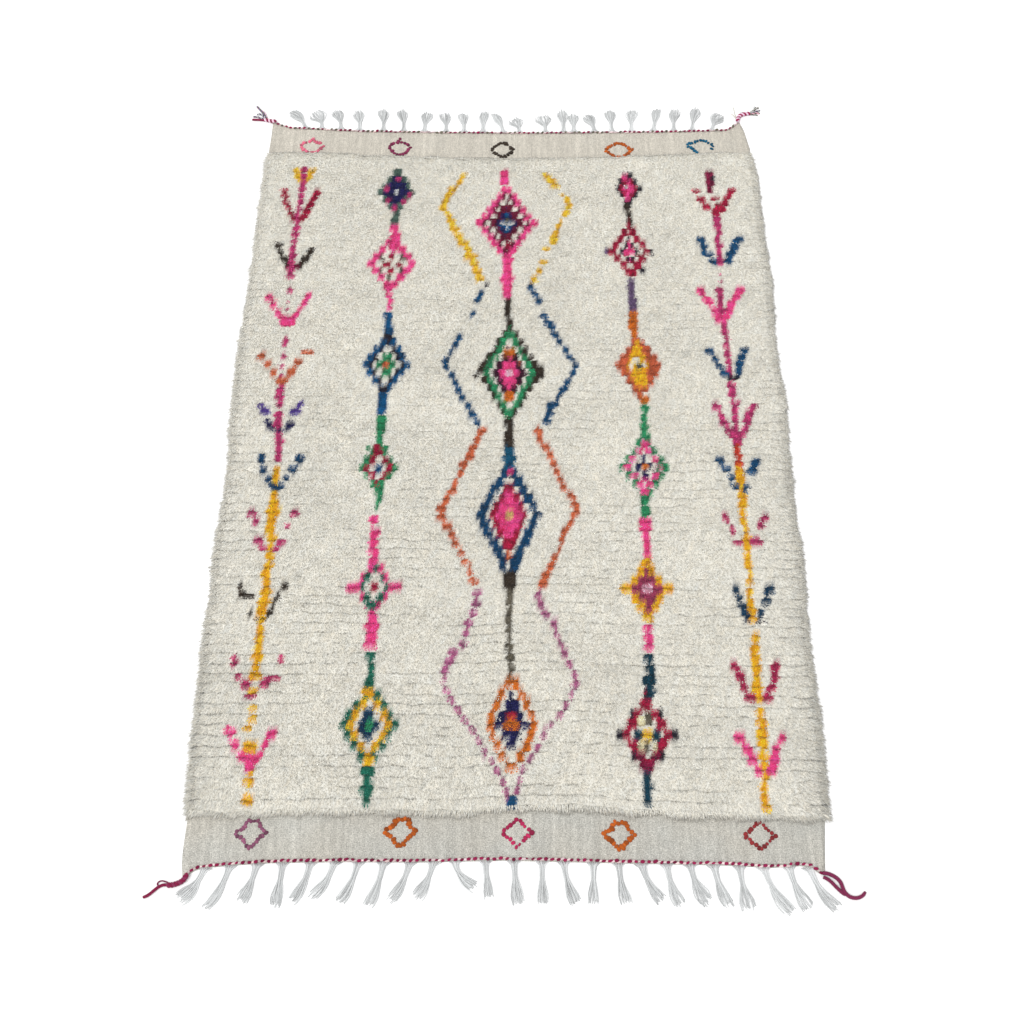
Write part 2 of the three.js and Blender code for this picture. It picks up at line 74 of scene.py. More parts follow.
# Rows of the chart, and how its beads and its knots differ from one another
CHART_ROW = 28.6
BEAD_FULLNESS = 1.18
BEAD_VARIETY = 0.14
BEAD_STRAY = 1.2
FAR_SPREAD = 2.2
BLOCK_SHARE = 0.72
KNOT_WIDTH = 9.0
CREAM_MOTTLE = 0.06
DYED_MOTTLE = 0.24
LUCK = chance.random(97)
SWELL = chance.normal(0, 1, 97)
KNOT_SHADES = chance.normal(0, 1, 4093)

# Camera, from the photograph's framing
CAMERA_PLACE = (0.0203, -2.0561, 3.2847)
CAMERA_TILT = 29.0
CAMERA_TURN = 0.0756
LENS = 46.15
SENSOR = 36.0

# Wool colours as they look on the rug
WOOLS = {
    "cream": (220, 217, 207),
    "grey": (208, 210, 210),
    "pale": (236, 224, 186),
    "straw": (222, 192, 122),
    "rose": (240, 180, 198),
    "blush": (212, 190, 190),
    "pink": (255, 76, 144),
    "salmon": (224, 112, 136),
    "cerise": (188, 58, 108),
    "cherry": (180, 42, 87),
    "magenta": (192, 60, 117),
    "crimson": (168, 24, 64),
    "scarlet": (204, 64, 44),
    "berry": (134, 26, 68),
    "wine": (126, 44, 78),
    "claret": (112, 36, 68),
    "maroon": (112, 18, 54),
    "mulberry": (160, 60, 94),
    "aubergine": (66, 20, 46),
    "plum": (140, 84, 110),
    "mauve": (177, 101, 141),
    "heather": (106, 84, 118),
    "purple": (88, 64, 148),
    "navy": (30, 30, 86),
    "ink": (40, 36, 50),
    "indigo": (16, 78, 120),
    "blue": (0, 87, 135),
    "ocean": (16, 60, 88),
    "petrol": (12, 92, 124),
    "deep": (12, 69, 108),
    "teal": (14, 62, 80),
    "bottle": (32, 112, 92),
    "green": (46, 144, 97),
    "moss": (84, 108, 98),
    "stone": (106, 100, 86),
    "brown": (58, 48, 38),
    "amber": (255, 181, 32),
    "yellow": (255, 192, 54),
    "orange": (212, 115, 35),
    "rust": (204, 106, 68),
    "coral": (196, 98, 64),
    "ochre": (184, 90, 28),
    "brick": (150, 50, 52),
}


# Centre line of the edge cord at each end, as (x, y) from left to right
NEAR_END_LINE = [
    (-788, -1266), (-770, -1252), (-742, -1245), (-677, -1239), (-586, -1233), (-405, -1230),
    (-223, -1231), (0, -1226), (182, -1230), (364, -1234), (545, -1237), (667, -1243),
    (742, -1238), (768, -1245), (786, -1260),
]
FAR_END_LINE = [
    (-796, 1283), (-744, 1261), (-689, 1256), (-526, 1246), (-400, 1241), (0, 1236), (242, 1238),
    (394, 1240), (545, 1243), (715, 1248), (751, 1254), (770, 1268), (787, 1284),
]

# Selvedges of the cloth and sides of the pile, as (y, x) from near to far
CLOTH_LEFT = [
    (-1262, -797), (-1237, -802), (-1200, -804), (-1122, -802), (0, -801), (1150, -803),
    (1214, -801), (1277, -801),
]
CLOTH_RIGHT = [
    (-1256, 796), (-1190, 803), (-1130, 810), (-600, 813), (0, 815), (700, 818), (1155, 819),
    (1178, 815), (1238, 806), (1279, 793),
]
PILE_LEFT = [
    (-1118, -804), (-1060, -809), (-950, -812), (-700, -815), (-590, -816), (-500, -809),
    (-420, -816), (-300, -813), (-180, -807), (-50, -806), (60, -817), (350, -819), (560, -810),
    (760, -809), (1130, -807),
]
PILE_RIGHT = [
    (-1118, 819), (-1000, 822), (-860, 826), (-680, 819), (-480, 826), (-350, 829), (-230, 822),
    (-10, 826), (150, 835), (250, 826), (390, 824), (605, 836), (750, 828), (905, 829),
    (1050, 828), (1135, 817),
]

# Ends of the pile, as (x, y) from left to right
PILE_NEAR = [
    (-800, -1111), (-640, -1113), (-500, -1107), (-300, -1107), (-110, -1111), (-30, -1101),
    (180, -1096), (350, -1111), (450, -1113), (600, -1117), (720, -1122), (820, -1121),
]
PILE_FAR = [
    (-800, 1134), (-600, 1136), (-450, 1122), (-300, 1117), (-40, 1107), (120, 1110), (330, 1115),
    (545, 1126), (727, 1137), (820, 1135),
]

# Tassels: root along the end, lean of the tip to the right, reach from the cord, width of the brush
# and how late it turns
Tassel = namedtuple("Tassel", "root lean reach spread sweep")
NEAR_TASSELS = [
    Tassel(-744, -58, 82, 34, 0.3), Tassel(-683, -52, 108, 22, 0.3), Tassel(-617, -32, 95, 28, 0.4),
    Tassel(-553, -9, 107, 26, 0.5), Tassel(-483, -38, 98, 26, 0.4), Tassel(-424, -50, 90, 24, 0.3),
    Tassel(-364, -44, 101, 24, 0.3), Tassel(-302, -34, 109, 22, 0.4), Tassel(-235, -46, 94, 24, 0.3),
    Tassel(-177, -42, 93, 24, 0.3), Tassel(-122, 50, 66, 24, 1), Tassel(-47, 10, 92, 22, 0.5),
    Tassel(24, 12, 110, 28, 0.5), Tassel(94, 0, 106, 24, 0.5), Tassel(148, 30, 104, 26, 0.6),
    Tassel(221, -3, 104, 24, 0.5), Tassel(285, 16, 105, 28, 0.5), Tassel(342, 48, 95, 24, 0.4),
    Tassel(403, 30, 102, 26, 0.4), Tassel(463, 38, 97, 32, 0.5), Tassel(521, 33, 104, 26, 0.3),
    Tassel(585, 15, 109, 32, 0.5), Tassel(645, 62, 114, 28, 0.4), Tassel(707, 42, 107, 32, 0.4),
    Tassel(758, 62, 104, 28, 0.3),
]
FAR_TASSELS = [
    Tassel(-689, -52, 78, 30, 0.4), Tassel(-632, -30, 82, 42, 0.8), Tassel(-567, -25, 92, 26, 0.5),
    Tassel(-503, -12, 94, 26, 0.5), Tassel(-422, -9, 104, 28, 0.5), Tassel(-353, -12, 103, 26, 0.5),
    Tassel(-282, 8, 91, 28, 0.5), Tassel(-208, -9, 91, 28, 0.5), Tassel(-147, -9, 88, 26, 0.5),
    Tassel(-83, 6, 98, 24, 0.5), Tassel(-14, -33, 88, 20, 0.3), Tassel(42, -20, 66, 36, 0.4),
    Tassel(130, -12, 80, 40, 0.5), Tassel(192, -4, 104, 26, 0.5), Tassel(226, 0, 86, 24, 0.5),
    Tassel(297, -26, 80, 30, 0.4), Tassel(356, -7, 99, 28, 0.5), Tassel(422, 7, 102, 28, 0.5),
    Tassel(498, 22, 106, 22, 0.5), Tassel(566, 12, 103, 30, 0.5), Tassel(630, 24, 107, 26, 0.5),
    Tassel(697, 38, 73, 34, 0.5),
]

# The chart of the pile. Its places are where the camera sees them on the floor plane, and seen_flat finds
# that place for a tuft's tip. A line of beads has one bead of colour to a row of pile: share is how many
# of its beads are there, waist is how much of the width is left between two beads, and its points run
# from far to near as (x, y, width). A gem is a diamond of rows: its middle, its reach to the left and
# right, its rows to the far and near tips, how full its sides are, and its rings from the outside in, as
# a wool and a width. "a/b" are wools that take turns row by row ("-" leaves the ground), and "a|b" is a
# wool in blocks with another between the rows. A spot is a block with rounded corners.
Beads = namedtuple("Beads", "wool share waist points")
Gem = namedtuple("Gem", "x y left right far near full rings")
Spot = namedtuple("Spot", "wool x y wide high")


def beads(wool, *points, share=1.0, waist=0.36):
    return Beads(wool, share, waist, points)


def stem(wool, *points):
    """Beads that nearly run together."""
    return beads(wool, *points, waist=0.7)


def wave(wool, *points, share=1.0):
    """Beads that stand apart."""
    return beads(wool, *points, share=share, waist=0.08)


def spots(wool, *places):
    return [Spot(wool, *place) for place in places]


LEFT_SPRIGS = [
    beads("yellow", (-707, 1090, 21), (-694, 1036, 24)),
    beads("yellow", (-653, 1088, 21), (-667, 1032, 24)),
    *spots("yellow", (-681, 1036, 42, 20)),
    beads("crimson", (-744, 1002, 21), (-732, 953, 19), (-717, 899, 18), (-692, 869, 20), waist=0.2),
    beads("crimson", (-627, 987, 20), (-644, 935, 18), (-659, 887, 18), (-668, 857, 20), waist=0.2),
    *spots("crimson", (-682, 866, 46, 26)),
    beads("brown", (-743, 768, 19), (-712, 694, 18), (-692, 652, 16)),
    beads("brown", (-624, 744, 20), (-641, 707, 18), (-655, 674, 18), (-679, 650, 16)),
    *spots("maroon", (-684, 660, 48, 22)),
    beads("magenta", (-680, 1092, 20), (-680, 992, 21), (-690, 700, 21), (-688, 610, 21), waist=0.05),
    *spots("magenta", (-686, 566, 21, 26), (-687, 522, 9, 12), (-687, 492, 10, 12), (-684, 368, 17, 40),
           (-683, 312, 15, 18), (-685, 275, 19, 20), (-684, 238, 15, 20)),
    beads("magenta", (-684, 230, 18), (-683, 180, 19), (-681, 122, 20), waist=0.2),
    beads("magenta", (-680, 112, 25), (-678, 66, 25), (-671, 10, 26), (-665, -66, 24)),
    beads("pink", (-752, 553, 17), (-735, 511, 17), (-717, 480, 18), (-697, 455, 20)),
    beads("pink", (-621, 558, 19), (-638, 511, 18), (-653, 481, 19), (-668, 455, 22)),
    *spots("pink", (-683, 446, 50, 36)),
    *spots("rust", (-751, 312, 24, 22), (-729, 287, 25, 22), (-708, 256, 22, 26), (-612, 330, 38, 20),
           (-637, 294, 26, 24), (-655, 256, 22, 24), (-683, 222, 36, 26)),
    beads("purple", (-738, 142, 24), (-716, 98, 24)),
    beads("purple", (-612, 148, 17), (-624, 122, 20), (-638, 96, 20)),
    stem("navy", (-715, 86, 16), (-704, 62, 16), (-690, 42, 18)),
    stem("navy", (-636, 80, 16), (-652, 46, 18)),
    *spots("navy", (-673, 44, 44, 16)),
    beads("amber", (-671, -77, 17), (-668, -130, 16), (-666, -193, 19), (-667, -233, 29), (-670, -266, 17),
          (-667, -298, 28), (-665, -333, 19), (-663, -400, 27), (-670, -431, 22), (-663, -471, 31),
          (-664, -502, 32), (-669, -535, 27), (-670, -580, 20), (-671, -642, 22)),
    *spots("deep", (-716, -54, 25, 34), (-707, -90, 23, 26), (-691, -121, 18, 24), (-678, -142, 18, 18),
           (-604, -52, 31, 28), (-622, -88, 28, 28), (-639, -118, 18, 24), (-652, -140, 18, 18),
           (-664, -153, 38, 15)),
    *spots("magenta", (-727, -240, 25, 26), (-714, -268, 18, 22), (-605, -238, 27, 22),
           (-621, -276, 20, 22), (-699, -328, 27, 20), (-685, -349, 26, 17), (-636, -330, 28, 20),
           (-650, -351, 24, 17)),
    *spots("brown", (-736, -470, 14, 26), (-728, -490, 20, 20), (-708, -501, 30, 18)),
    stem("brown", (-626, -484, 6), (-652, -566, 6)),
    *spots("brown", (-611, -468, 20, 26), (-630, -509, 24, 20), (-647, -550, 18, 14), (-700, -551, 16, 12),
           (-671, -568, 38, 14)),
    beads("amber", (-669, -640, 18), (-670, -664, 24), (-669, -706, 20), (-668, -748, 24)),
    *spots("cerise", (-729, -690, 19, 34), (-605, -686, 20, 26), (-712, -739, 20, 24),
           (-694, -763, 27, 24), (-621, -742, 46, 18), (-642, -758, 26, 20), (-676, -792, 30, 16)),
    *spots("amber", (-672, -776, 24, 24), (-666, -827, 23, 22), (-664, -857, 25, 26),
           (-676, -882, 26, 16), (-664, -933, 34, 34), (-656, -1000, 15, 24), (-659, -1028, 31, 26),
           (-660, -1060, 18, 20), (-658, -1076, 31, 22)),
    wave("pink", (-730, -872, 26), (-706, -915, 23), (-692, -944, 21), (-676, -972, 24)),
    wave("pink", (-598, -882, 24), (-620, -912, 22), (-633, -940, 20), (-648, -972, 24)),
    *spots("pink", (-662, -966, 38, 26), (-660, -987, 24, 18)),
]

LEFT_GEMS = [
    stem("moss", (-364, 905, 17), (-365, 836, 20)),
    *spots("moss", (-365, 1070, 24, 26)),
    Gem(-367, 978, 62, 60, 4.0, 3.3, 1.1, [("moss", 15), ("navy", 60)]),
    *spots("magenta", (-362, 1034, 19, 20), (-398, 990, 19, 20), (-322, 968, 16, 20),
           (-394, 944, 19, 20), (-341, 937, 20, 20), (-368, 909, 20, 22)),
    *spots("grey", (-366, 977, 16, 24)),
    beads("pink", (-364, 836, 30), (-363, 775, 20)),
    Gem(-368, 678, 78, 77, 4.2, 4.0, 1.15, [("pink", 25), ("cream/stone", 10), ("cream", 60)]),
    *spots("pink", (-367, 742, 28, 20), (-373, 600, 26, 18)),
    *spots("crimson", (-372, 706, 19, 17), (-384, 673, 24, 15), (-346, 671, 19, 15), (-369, 646, 23, 17)),
    *spots("stone", (-375, 620, 17, 22), (-329, 692, 12, 20)),
    beads("pink", (-372, 592, 20), (-371, 560, 20), (-363, 530, 20), (-368, 482, 14)),
    stem("blue", (-370, 480, 21), (-367, 432, 24), (-367, 392, 26)),
    Gem(-366, 285, 74, 73, 4.5, 4.2, 1.1, [("blue", 19), ("ink", 12), ("cream", 14), ("green", 60)]),
    *spots("ink", (-367, 384, 26, 20), (-370, 190, 24, 20)),
    *spots("rust", (-366, 281, 21, 22)),
    stem("blue", (-371, 182, 27), (-373, 150, 22), (-374, 100, 24)),
    stem("green", (-366, 98, 24), (-371, 60, 25), (-375, 30, 17), (-379, 4, 15)),
    Gem(-373, -83, 58, 56, 3.5, 3.1, 1.1, [("green", 14), ("crimson", 18), ("cream", 15), ("blue", 40)]),
    *spots("crimson", (-380, -20, 23, 34)),
    *spots("green", (-404, -18, 18, 20), (-356, -18, 20, 20)),
    stem("green", (-370, -150, 20), (-367, -191, 15), (-374, -226, 5)),
    *spots("pink", (-376, -257, 29, 27)),
    beads("pink", (-367, -290, 27), (-376, -334, 24), (-373, -370, 30), (-368, -402, 20)),
    Gem(-364, -468, 53, 52, 3.1, 3.2, 1.2, [("pink", 15), ("bottle", 10), ("cream", 15), ("crimson", 40)]),
    *spots("pink", (-427, -474, 36, 28), (-304, -466, 28, 22), (-369, -400, 26, 22)),
    *spots("bottle", (-361, -405, 22, 12), (-388, -438, 18, 22)),
    *spots("cream", (-364, -438, 27, 20)),
    *spots("bottle", (-383, -508, 19, 26), (-348, -502, 19, 24), (-370, -530, 27, 25)),
    stem("pink", (-368, -545, 26), (-366, -580, 24), (-362, -600, 34), (-366, -625, 24), (-364, -662, 27)),
    stem("bottle", (-364, -664, 27), (-361, -704, 17), (-360, -728, 17), (-366, -766, 22)),
    Gem(-356, -875, 80, 77, 4.1, 4.2, 1.15, [("bottle", 17), ("amber", 20), ("cream", 60)]),
    *spots("amber", (-368, -777, 29, 28), (-353, -970, 33, 30)),
    *spots("ocean", (-360, -868, 28, 96), (-360, -876, 56, 42)),
    *spots("green", (-359, -876, 20, 26)),
    stem("bottle", (-354, -984, 34), (-356, -1006, 22), (-354, -1030, 16), (-354, -1048, 28),
         (-352, -1068, 26), (-351, -1088, 6)),
]

LEFT_WAVES = [
    beads("yellow", (-134, 1068, 24), (-171, 1005, 24), (-191, 980, 22), (-202, 946, 25), (-209, 912, 24),
          (-196, 885, 21), (-179, 848, 25), (-164, 806, 24), (-142, 766, 32), (-128, 740, 20),
          (-118, 711, 28), (-104, 675, 22), (-78, 606, 28)),
    *spots("ink", (-61, 592, 18, 20)),
    wave("indigo", (-74, 572, 16), (-95, 522, 22)),
    wave("indigo", (-100, 490, 9), (-122, 437, 9), (-146, 400, 13), share=0.8),
    wave("indigo", (-140, 400, 13), (-152, 363, 18), (-167, 339, 15), (-177, 317, 16), (-192, 285, 20),
          (-171, 259, 15), (-160, 230, 15), (-144, 188, 17), (-128, 154, 16), (-115, 129, 15),
          (-97, 98, 19), (-84, 60, 16)),
    wave("rust", (-66, 56, 22), (-83, 22, 20), (-96, -7, 17), (-108, -47, 23), (-126, -75, 18),
          (-136, -110, 17), (-149, -146, 17), (-173, -198, 21), (-189, -226, 24), (-190, -240, 22),
          (-182, -254, 24), (-158, -294, 21), (-145, -324, 20), (-120, -380, 20), (-105, -403, 19),
          (-97, -434, 20), (-83, -468, 18)),
    wave("mauve", (-72, -474, 18), (-84, -509, 18), (-83, -535, 19), (-104, -582, 17), (-104, -603, 17),
          (-118, -655, 16)),
    wave("mauve", (-136, -650, 20), (-157, -715, 19), (-167, -753, 20), (-153, -777, 17), (-118, -845, 18),
          (-96, -863, 17), (-67, -914, 15), (-40, -959, 15), (-8, -1012, 14), (7, -1066, 13)),
]

RIGHT_WAVES = [
    beads("yellow", (118, 1066, 20), (143, 1038, 25), (168, 992, 22)),
    beads("yellow", (176, 976, 13), (186, 960, 13), share=0.7),
    beads("yellow", (196, 962, 19), (205, 919, 19), (188, 872, 20)),
    beads("yellow", (180, 868, 12), (160, 796, 13), share=0.8),
    stem("yellow", (156, 796, 22), (146, 756, 24)),
    *spots("yellow", (127, 737, 22, 20), (115, 684, 27, 22), (103, 648, 15, 18), (89, 611, 22, 20)),
    beads("indigo", (64, 590, 18), (87, 560, 17), (106, 516, 16)),
    beads("indigo", (112, 478, 22), (137, 425, 24)),
    wave("indigo", (136, 440, 15), (152, 396, 19), (165, 366, 16), (182, 342, 17), (193, 310, 16),
          (217, 287, 17), (205, 262, 15), (191, 233, 14), (178, 207, 17), (153, 157, 17), (140, 137, 22),
          (116, 62, 20)),
    wave("rust", (94, 56, 18), (100, 18, 19), (117, -17, 22), (127, -44, 19), (139, -71, 17),
          (149, -98, 13), (159, -119, 12), (171, -151, 18), (197, -198, 18), (208, -226, 20),
          (189, -262, 16), (168, -303, 16), (152, -345, 12), (139, -382, 17), (124, -409, 17),
          (98, -474, 17)),
    wave("mauve", (90, -482, 15), (92, -508, 15), (111, -552, 16), (118, -571, 16), (138, -588, 13),
          (145, -632, 15), (168, -688, 13), (196, -745, 22), (182, -772, 19), (168, -803, 17),
          (152, -838, 14), (132, -861, 20), (110, -888, 18), (92, -918, 14), (72, -954, 16), (48, -983, 15),
          (40, -1018, 13), (31, -1064, 13)),
    *spots("indigo", (20, -1080, 28, 38)),
]

CENTRE = [
    stem("pink", (-10, 1076, 22), (-10, 1050, 28), (-9, 1010, 16)),
    Gem(-1, 848, 98, 96, 6.2, 5.9, 1.0, [("pink", 21), ("maroon", 9), ("cream|maroon", 15), ("maroon", 18),
                                         ("navy", 12), ("blue", 60)]),
    *spots("pink", (-92, 851, 22, 26), (92, 848, 22, 30), (3, 694, 42, 20)),
    *spots("crimson", (6, 752, 19, 24)),
    *spots("grey", (3, 843, 44, 11), (3, 824, 17, 16)),
    *spots("stone", (3, 862, 14, 13)),
    stem("pink", (2, 692, 30), (1, 600, 31), (4, 538, 14)),
    beads("brown", (4, 540, 17), (5, 500, 16), (6, 430, 20)),
    Gem(9, 256, 98, 105, 6.8, 6.5, 1.0, [("brown", 60)]),
    Gem(9, 254, 80, 81, 6.3, 6.2, 1.0, [("green", 18), ("cream", 12), ("rust", 60)]),
    *spots("brown", (-92, 240, 16, 12), (104, 238, 22, 14)),
    Gem(9, 253, 52, 54, 3.7, 3.6, 1.05, [("aubergine", 60)]),
    Gem(9, 253, 33, 34, 2.5, 2.4, 1.1, [("pink", 60)]),
    *spots("rose", (9, 253, 26, 26)),
    *spots("orange", (9, 168, 30, 40), (9, 330, 32, 26)),
    stem("brown", (10, 84, 18), (10, 50, 27), (10, -14, 20)),
    stem("petrol", (9, -14, 22), (8, -40, 30), (8, -92, 28)),
    Gem(10, -243, 94, 93, 6.5, 7.0, 1.15, [("deep", 27), ("cream|deep", 12), ("crimson", 17),
                                           ("pink", 60)]),
    *spots("magenta", (12, -98, 21, 24)),
    *spots("deep", (-12, -372, 24, 28), (35, -372, 24, 28), (-6, -402, 26, 30), (24, -402, 26, 30)),
    *spots("cream", (8, -124, 34, 12), (9, -400, 8, 30)),
    *spots("straw", (10, -246, 25, 27)),
    *spots("rust", (9, -370, 16, 30)),
    *spots("crimson", (10, -340, 30, 28)),
    *spots("brown", (12, -448, 34, 52)),
    beads("stone", (11, -474, 18), (10, -560, 19), (10, -640, 19), (16, -700, 20), (18, -750, 22)),
    Gem(18, -874, 67, 67, 5.1, 4.9, 1.4, [("orange", 18), ("cream", 60)]),
    *spots("navy", (18, -790, 15, 26), (18, -817, 40, 29), (16, -846, 61, 29), (19, -874, 91, 29),
           (18, -901, 50, 28), (17, -928, 23, 28)),
    *spots("crimson", (16, -848, 23, 27)),
    *spots("orange", (18, -875, 43, 27)),
]

RIGHT_GEMS = [
    Gem(398, 1000, 40, 50, 3.1, 2.9, 1.1, [("ink", 14), ("crimson", 13), ("pink", 40)]),
    *spots("pink", (391, 1042, 18, 18), (398, 950, 20, 32)),
    *spots("grey", (393, 1004, 15, 16)),
    beads("brown", (396, 934, 17), (397, 887, 16), (401, 838, 15)),
    *spots("heather", (326, 729, 24, 28)),
    *spots("ink", (464, 724, 20, 30), (430, 650, 20, 16)),
    Gem(396, 724, 68, 66, 4.5, 4.0, 1.05, [("crimson", 23), ("cream|crimson", 14), ("ink|cream", 12),
                                           ("pink", 40)]),
    stem("heather", (393, 620, 18), (394, 592, 21), (392, 542, 22), (396, 488, 20)),
    beads("orange", (396, 488, 24), (394, 429, 24), (395, 384, 20)),
    Gem(405, 283, 72, 70, 4.2, 4.6, 1.1, [("coral", 60)]),
    Gem(402, 281, 32, 34, 3.9, 3.3, 1.0, [("amber", 60)]),
    *spots("amber", (412, 222, 30, 30)),
    *spots("cream", (398, 296, 24, 28), (420, 281, 18, 14), (380, 276, 12, 16)),
    *spots("stone", (408, 277, 20, 15)),
    stem("orange", (416, 172, 19), (415, 140, 17)),
    beads("green", (416, 138, 18), (416, 90, 20), (410, 67, 20), (412, 10, 28)),
    Gem(405, -83, 76, 74, 4.2, 4.1, 1.0, [("green", 16), ("pink|blush", 20), ("cream", 12), ("navy", 40)]),
    *spots("pink", (410, -2, 27, 24), (402, -166, 26, 24)),
    *spots("orange", (406, -81, 22, 21)),
    *spots("ink", (424, -88, 18, 18)),
    stem("green", (401, -178, 18), (399, -223, 22), (397, -247, 22)),
    beads("pink", (397, -248, 25), (397, -293, 29), (401, -329, 23), (400, -384, 22)),
    *spots("amber", (396, -393, 31, 20), (404, -412, 24, 24), (337, -474, 40, 34), (452, -474, 26, 34)),
    Gem(393, -478, 56, 56, 3.4, 3.9, 1.2, [("amber", 20), ("mulberry", 60)]),
    *spots("mulberry", (363, -475, 26, 28), (424, -475, 26, 28)),
    *spots("rose", (393, -474, 27, 27)),
    beads("pink", (390, -582, 24), (389, -610, 26), (388, -668, 26)),
    stem("teal", (389, -670, 24), (386, -700, 19), (388, -720, 16), (384, -750, 26), (382, -794, 20)),
    Gem(374, -896, 82, 82, 4.3, 4.1, 1.0, [("ink/-", 60)]),
    Gem(373, -896, 66, 65, 4.1, 3.9, 1.0, [("crimson", 23), ("cream|crimson", 12), ("cream", 60)]),
    *spots("berry", (351, -956, 22, 26), (391, -956, 22, 26), (369, -980, 36, 26)),
    *spots("pale", (357, -862, 20, 28), (354, -926, 20, 30), (391, -929, 14, 24)),
    *spots("stone", (378, -856, 17, 34), (372, -930, 17, 34)),
    *spots("teal", (349, -896, 24, 28), (397, -899, 24, 28)),
    *spots("yellow", (373, -893, 24, 30)),
    stem("teal", (368, -992, 28), (367, -1032, 18), (367, -1055, 25), (366, -1092, 24)),
]

RIGHT_SPRIGS = [
    stem("berry", (672, 1068, 16), (673, 1040, 32), (672, 1010, 14), (672, 975, 13)),
    *spots("ink", (684, 1040, 15, 24)),
    *spots("crimson", (625, 985, 28, 22), (686, 952, 28, 18), (694, 922, 20, 18)),
    beads("crimson", (636, 962, 26), (664, 898, 24)),
    beads("crimson", (750, 1002, 21), (735, 972, 21), (718, 938, 21), (703, 890, 23)),
    *spots("crimson", (682, 894, 27, 34)),
    wave("magenta", (684, 876, 16), (686, 799, 16), (683, 760, 15), (684, 706, 12)),
    wave("indigo", (622, 792, 19), (632, 758, 21), (645, 722, 29), (668, 676, 22)),
    wave("indigo", (752, 790, 26), (729, 733, 23), (704, 676, 20)),
    *spots("magenta", (685, 688, 26, 34), (679, 637, 8, 12), (679, 604, 9, 12)),
    beads("magenta", (674, 584, 17), (672, 514, 18), (671, 478, 18)),
    beads("pink", (608, 578, 27), (631, 531, 24), (648, 496, 20), (668, 450, 26)),
    beads("pink", (744, 584, 22), (713, 531, 26), (697, 491, 18), (680, 452, 18)),
    *spots("pink", (668, 458, 36, 32)),
    beads("magenta", (677, 450, 18), (677, 436, 18), (679, 398, 20), (681, 366, 18), (682, 334, 18),
          (679, 300, 19), (680, 224, 18)),
    wave("indigo", (620, 345, 21), (640, 297, 25), (656, 266, 26), (668, 232, 24)),
    wave("indigo", (738, 354, 21), (720, 309, 22), (704, 246, 21)),
    *spots("ink", (684, 236, 44, 20)),
    beads("magenta", (679, 222, 24), (685, 156, 20), (684, 114, 18), (682, 40, 18)),
    beads("magenta", (626, 142, 19), (638, 102, 15), (655, 61, 22), (672, 24, 26)),
    beads("magenta", (746, 142, 28), (722, 94, 22), (706, 40, 20)),
    *spots("magenta", (683, 30, 52, 28), (681, 6, 27, 30)),
    beads("scarlet", (680, 0, 22), (682, -84, 21)),
    beads("amber", (682, -78, 18), (680, -123, 27), (682, -184, 25), (680, -233, 25), (681, -277, 18),
          (682, -314, 25), (683, -351, 22), (679, -383, 25), (683, -414, 22), (677, -484, 20),
          (675, -512, 22), (679, -584, 25)),
    beads("amber", (679, -612, 20), (676, -651, 25), (675, -695, 25), (674, -757, 22), (675, -810, 20)),
    beads("amber", (677, -822, 26), (673, -883, 28), (675, -915, 27), (671, -951, 29), (671, -998, 18)),
    beads("amber", (670, -1000, 18), (667, -1036, 22), (666, -1062, 20), (665, -1104, 26)),
    wave("indigo", (624, -42, 22), (635, -78, 27), (652, -109, 20), (668, -158, 21)),
    wave("indigo", (740, -50, 28), (722, -78, 27), (710, -109, 23)),
    *spots("indigo", (697, -146, 24, 18), (692, -160, 15, 22)),
    wave("cerise", (620, -236, 20), (639, -271, 17), (650, -306, 9)),
    wave("cerise", (744, -240, 20), (720, -288, 22)),
    *spots("cerise", (657, -331, 34, 16), (707, -330, 40, 18), (712, -312, 14, 14)),
    wave("ocean", (633, -462, 18), (646, -502, 15), (651, -527, 20), (666, -566, 22)),
    wave("ocean", (742, -466, 29), (722, -514, 24), (704, -540, 20), (697, -566, 22)),
    *spots("ink", (662, -573, 22, 9), (701, -575, 32, 12)),
    wave("cherry", (613, -690, 18), (623, -719, 22), (630, -743, 20), (639, -771, 24), (658, -812, 26)),
    wave("cherry", (732, -692, 24), (720, -738, 21), (711, -764, 20), (692, -812, 24)),
    beads("pink", (606, -890, 18), (618, -914, 30), (633, -942, 22), (644, -969, 22), (660, -1014, 20)),
    wave("pink", (734, -894, 26), (706, -936, 18), (700, -964, 21), (682, -1008, 24)),
]

CHART = [*LEFT_SPRIGS, *LEFT_GEMS, *LEFT_WAVES, *CENTRE, *RIGHT_WAVES, *RIGHT_GEMS, *RIGHT_SPRIGS]

# Lozenges of knots on the flatwoven bands: middle and size, the knots' half width and their pitch along
# the line, how much of the pitch a knot fills, how many of them are there, and their outline
Lozenge = namedtuple("Lozenge", "wool x y half_width half_height thick pitch fill share outline")
NEAR_LOZENGES = [
    Lozenge("plum", -638, -1162, 38, 36, 6.0, 8, 1.1, 0.98, "blunt"),
    Lozenge("ochre", -262, -1158, 39, 37, 7.2, 9, 1.15, 1.0, "blunt"),
    Lozenge("cherry", 33, -1160, 35, 34, 5.8, 10.5, 0.95, 1.0, "pointed"),
    Lozenge("ochre", 288, -1165, 39, 36, 7.2, 9, 1.15, 1.0, "blunt"),
    Lozenge("brick", 643, -1167, 37, 34, 5.8, 9.5, 1.05, 0.97, "pointed"),
]
FAR_LOZENGES = [
    Lozenge("salmon", -659, 1178, 38, 34, 6.8, 8, 1.1, 0.92, "peaked"),
    Lozenge("wine", -363, 1172, 36, 38, 7.0, 10, 1.0, 0.95, "peaked"),
    Lozenge("brown", -15, 1160, 36, 33, 7.2, 9.5, 1.05, 1.0, "round"),
    Lozenge("ochre", 376, 1159, 44, 33, 7.6, 9, 1.05, 0.97, "round"),
    Lozenge("petrol", 651, 1177, 44, 28, 7.6, 10, 0.95, 0.96, "open"),
]
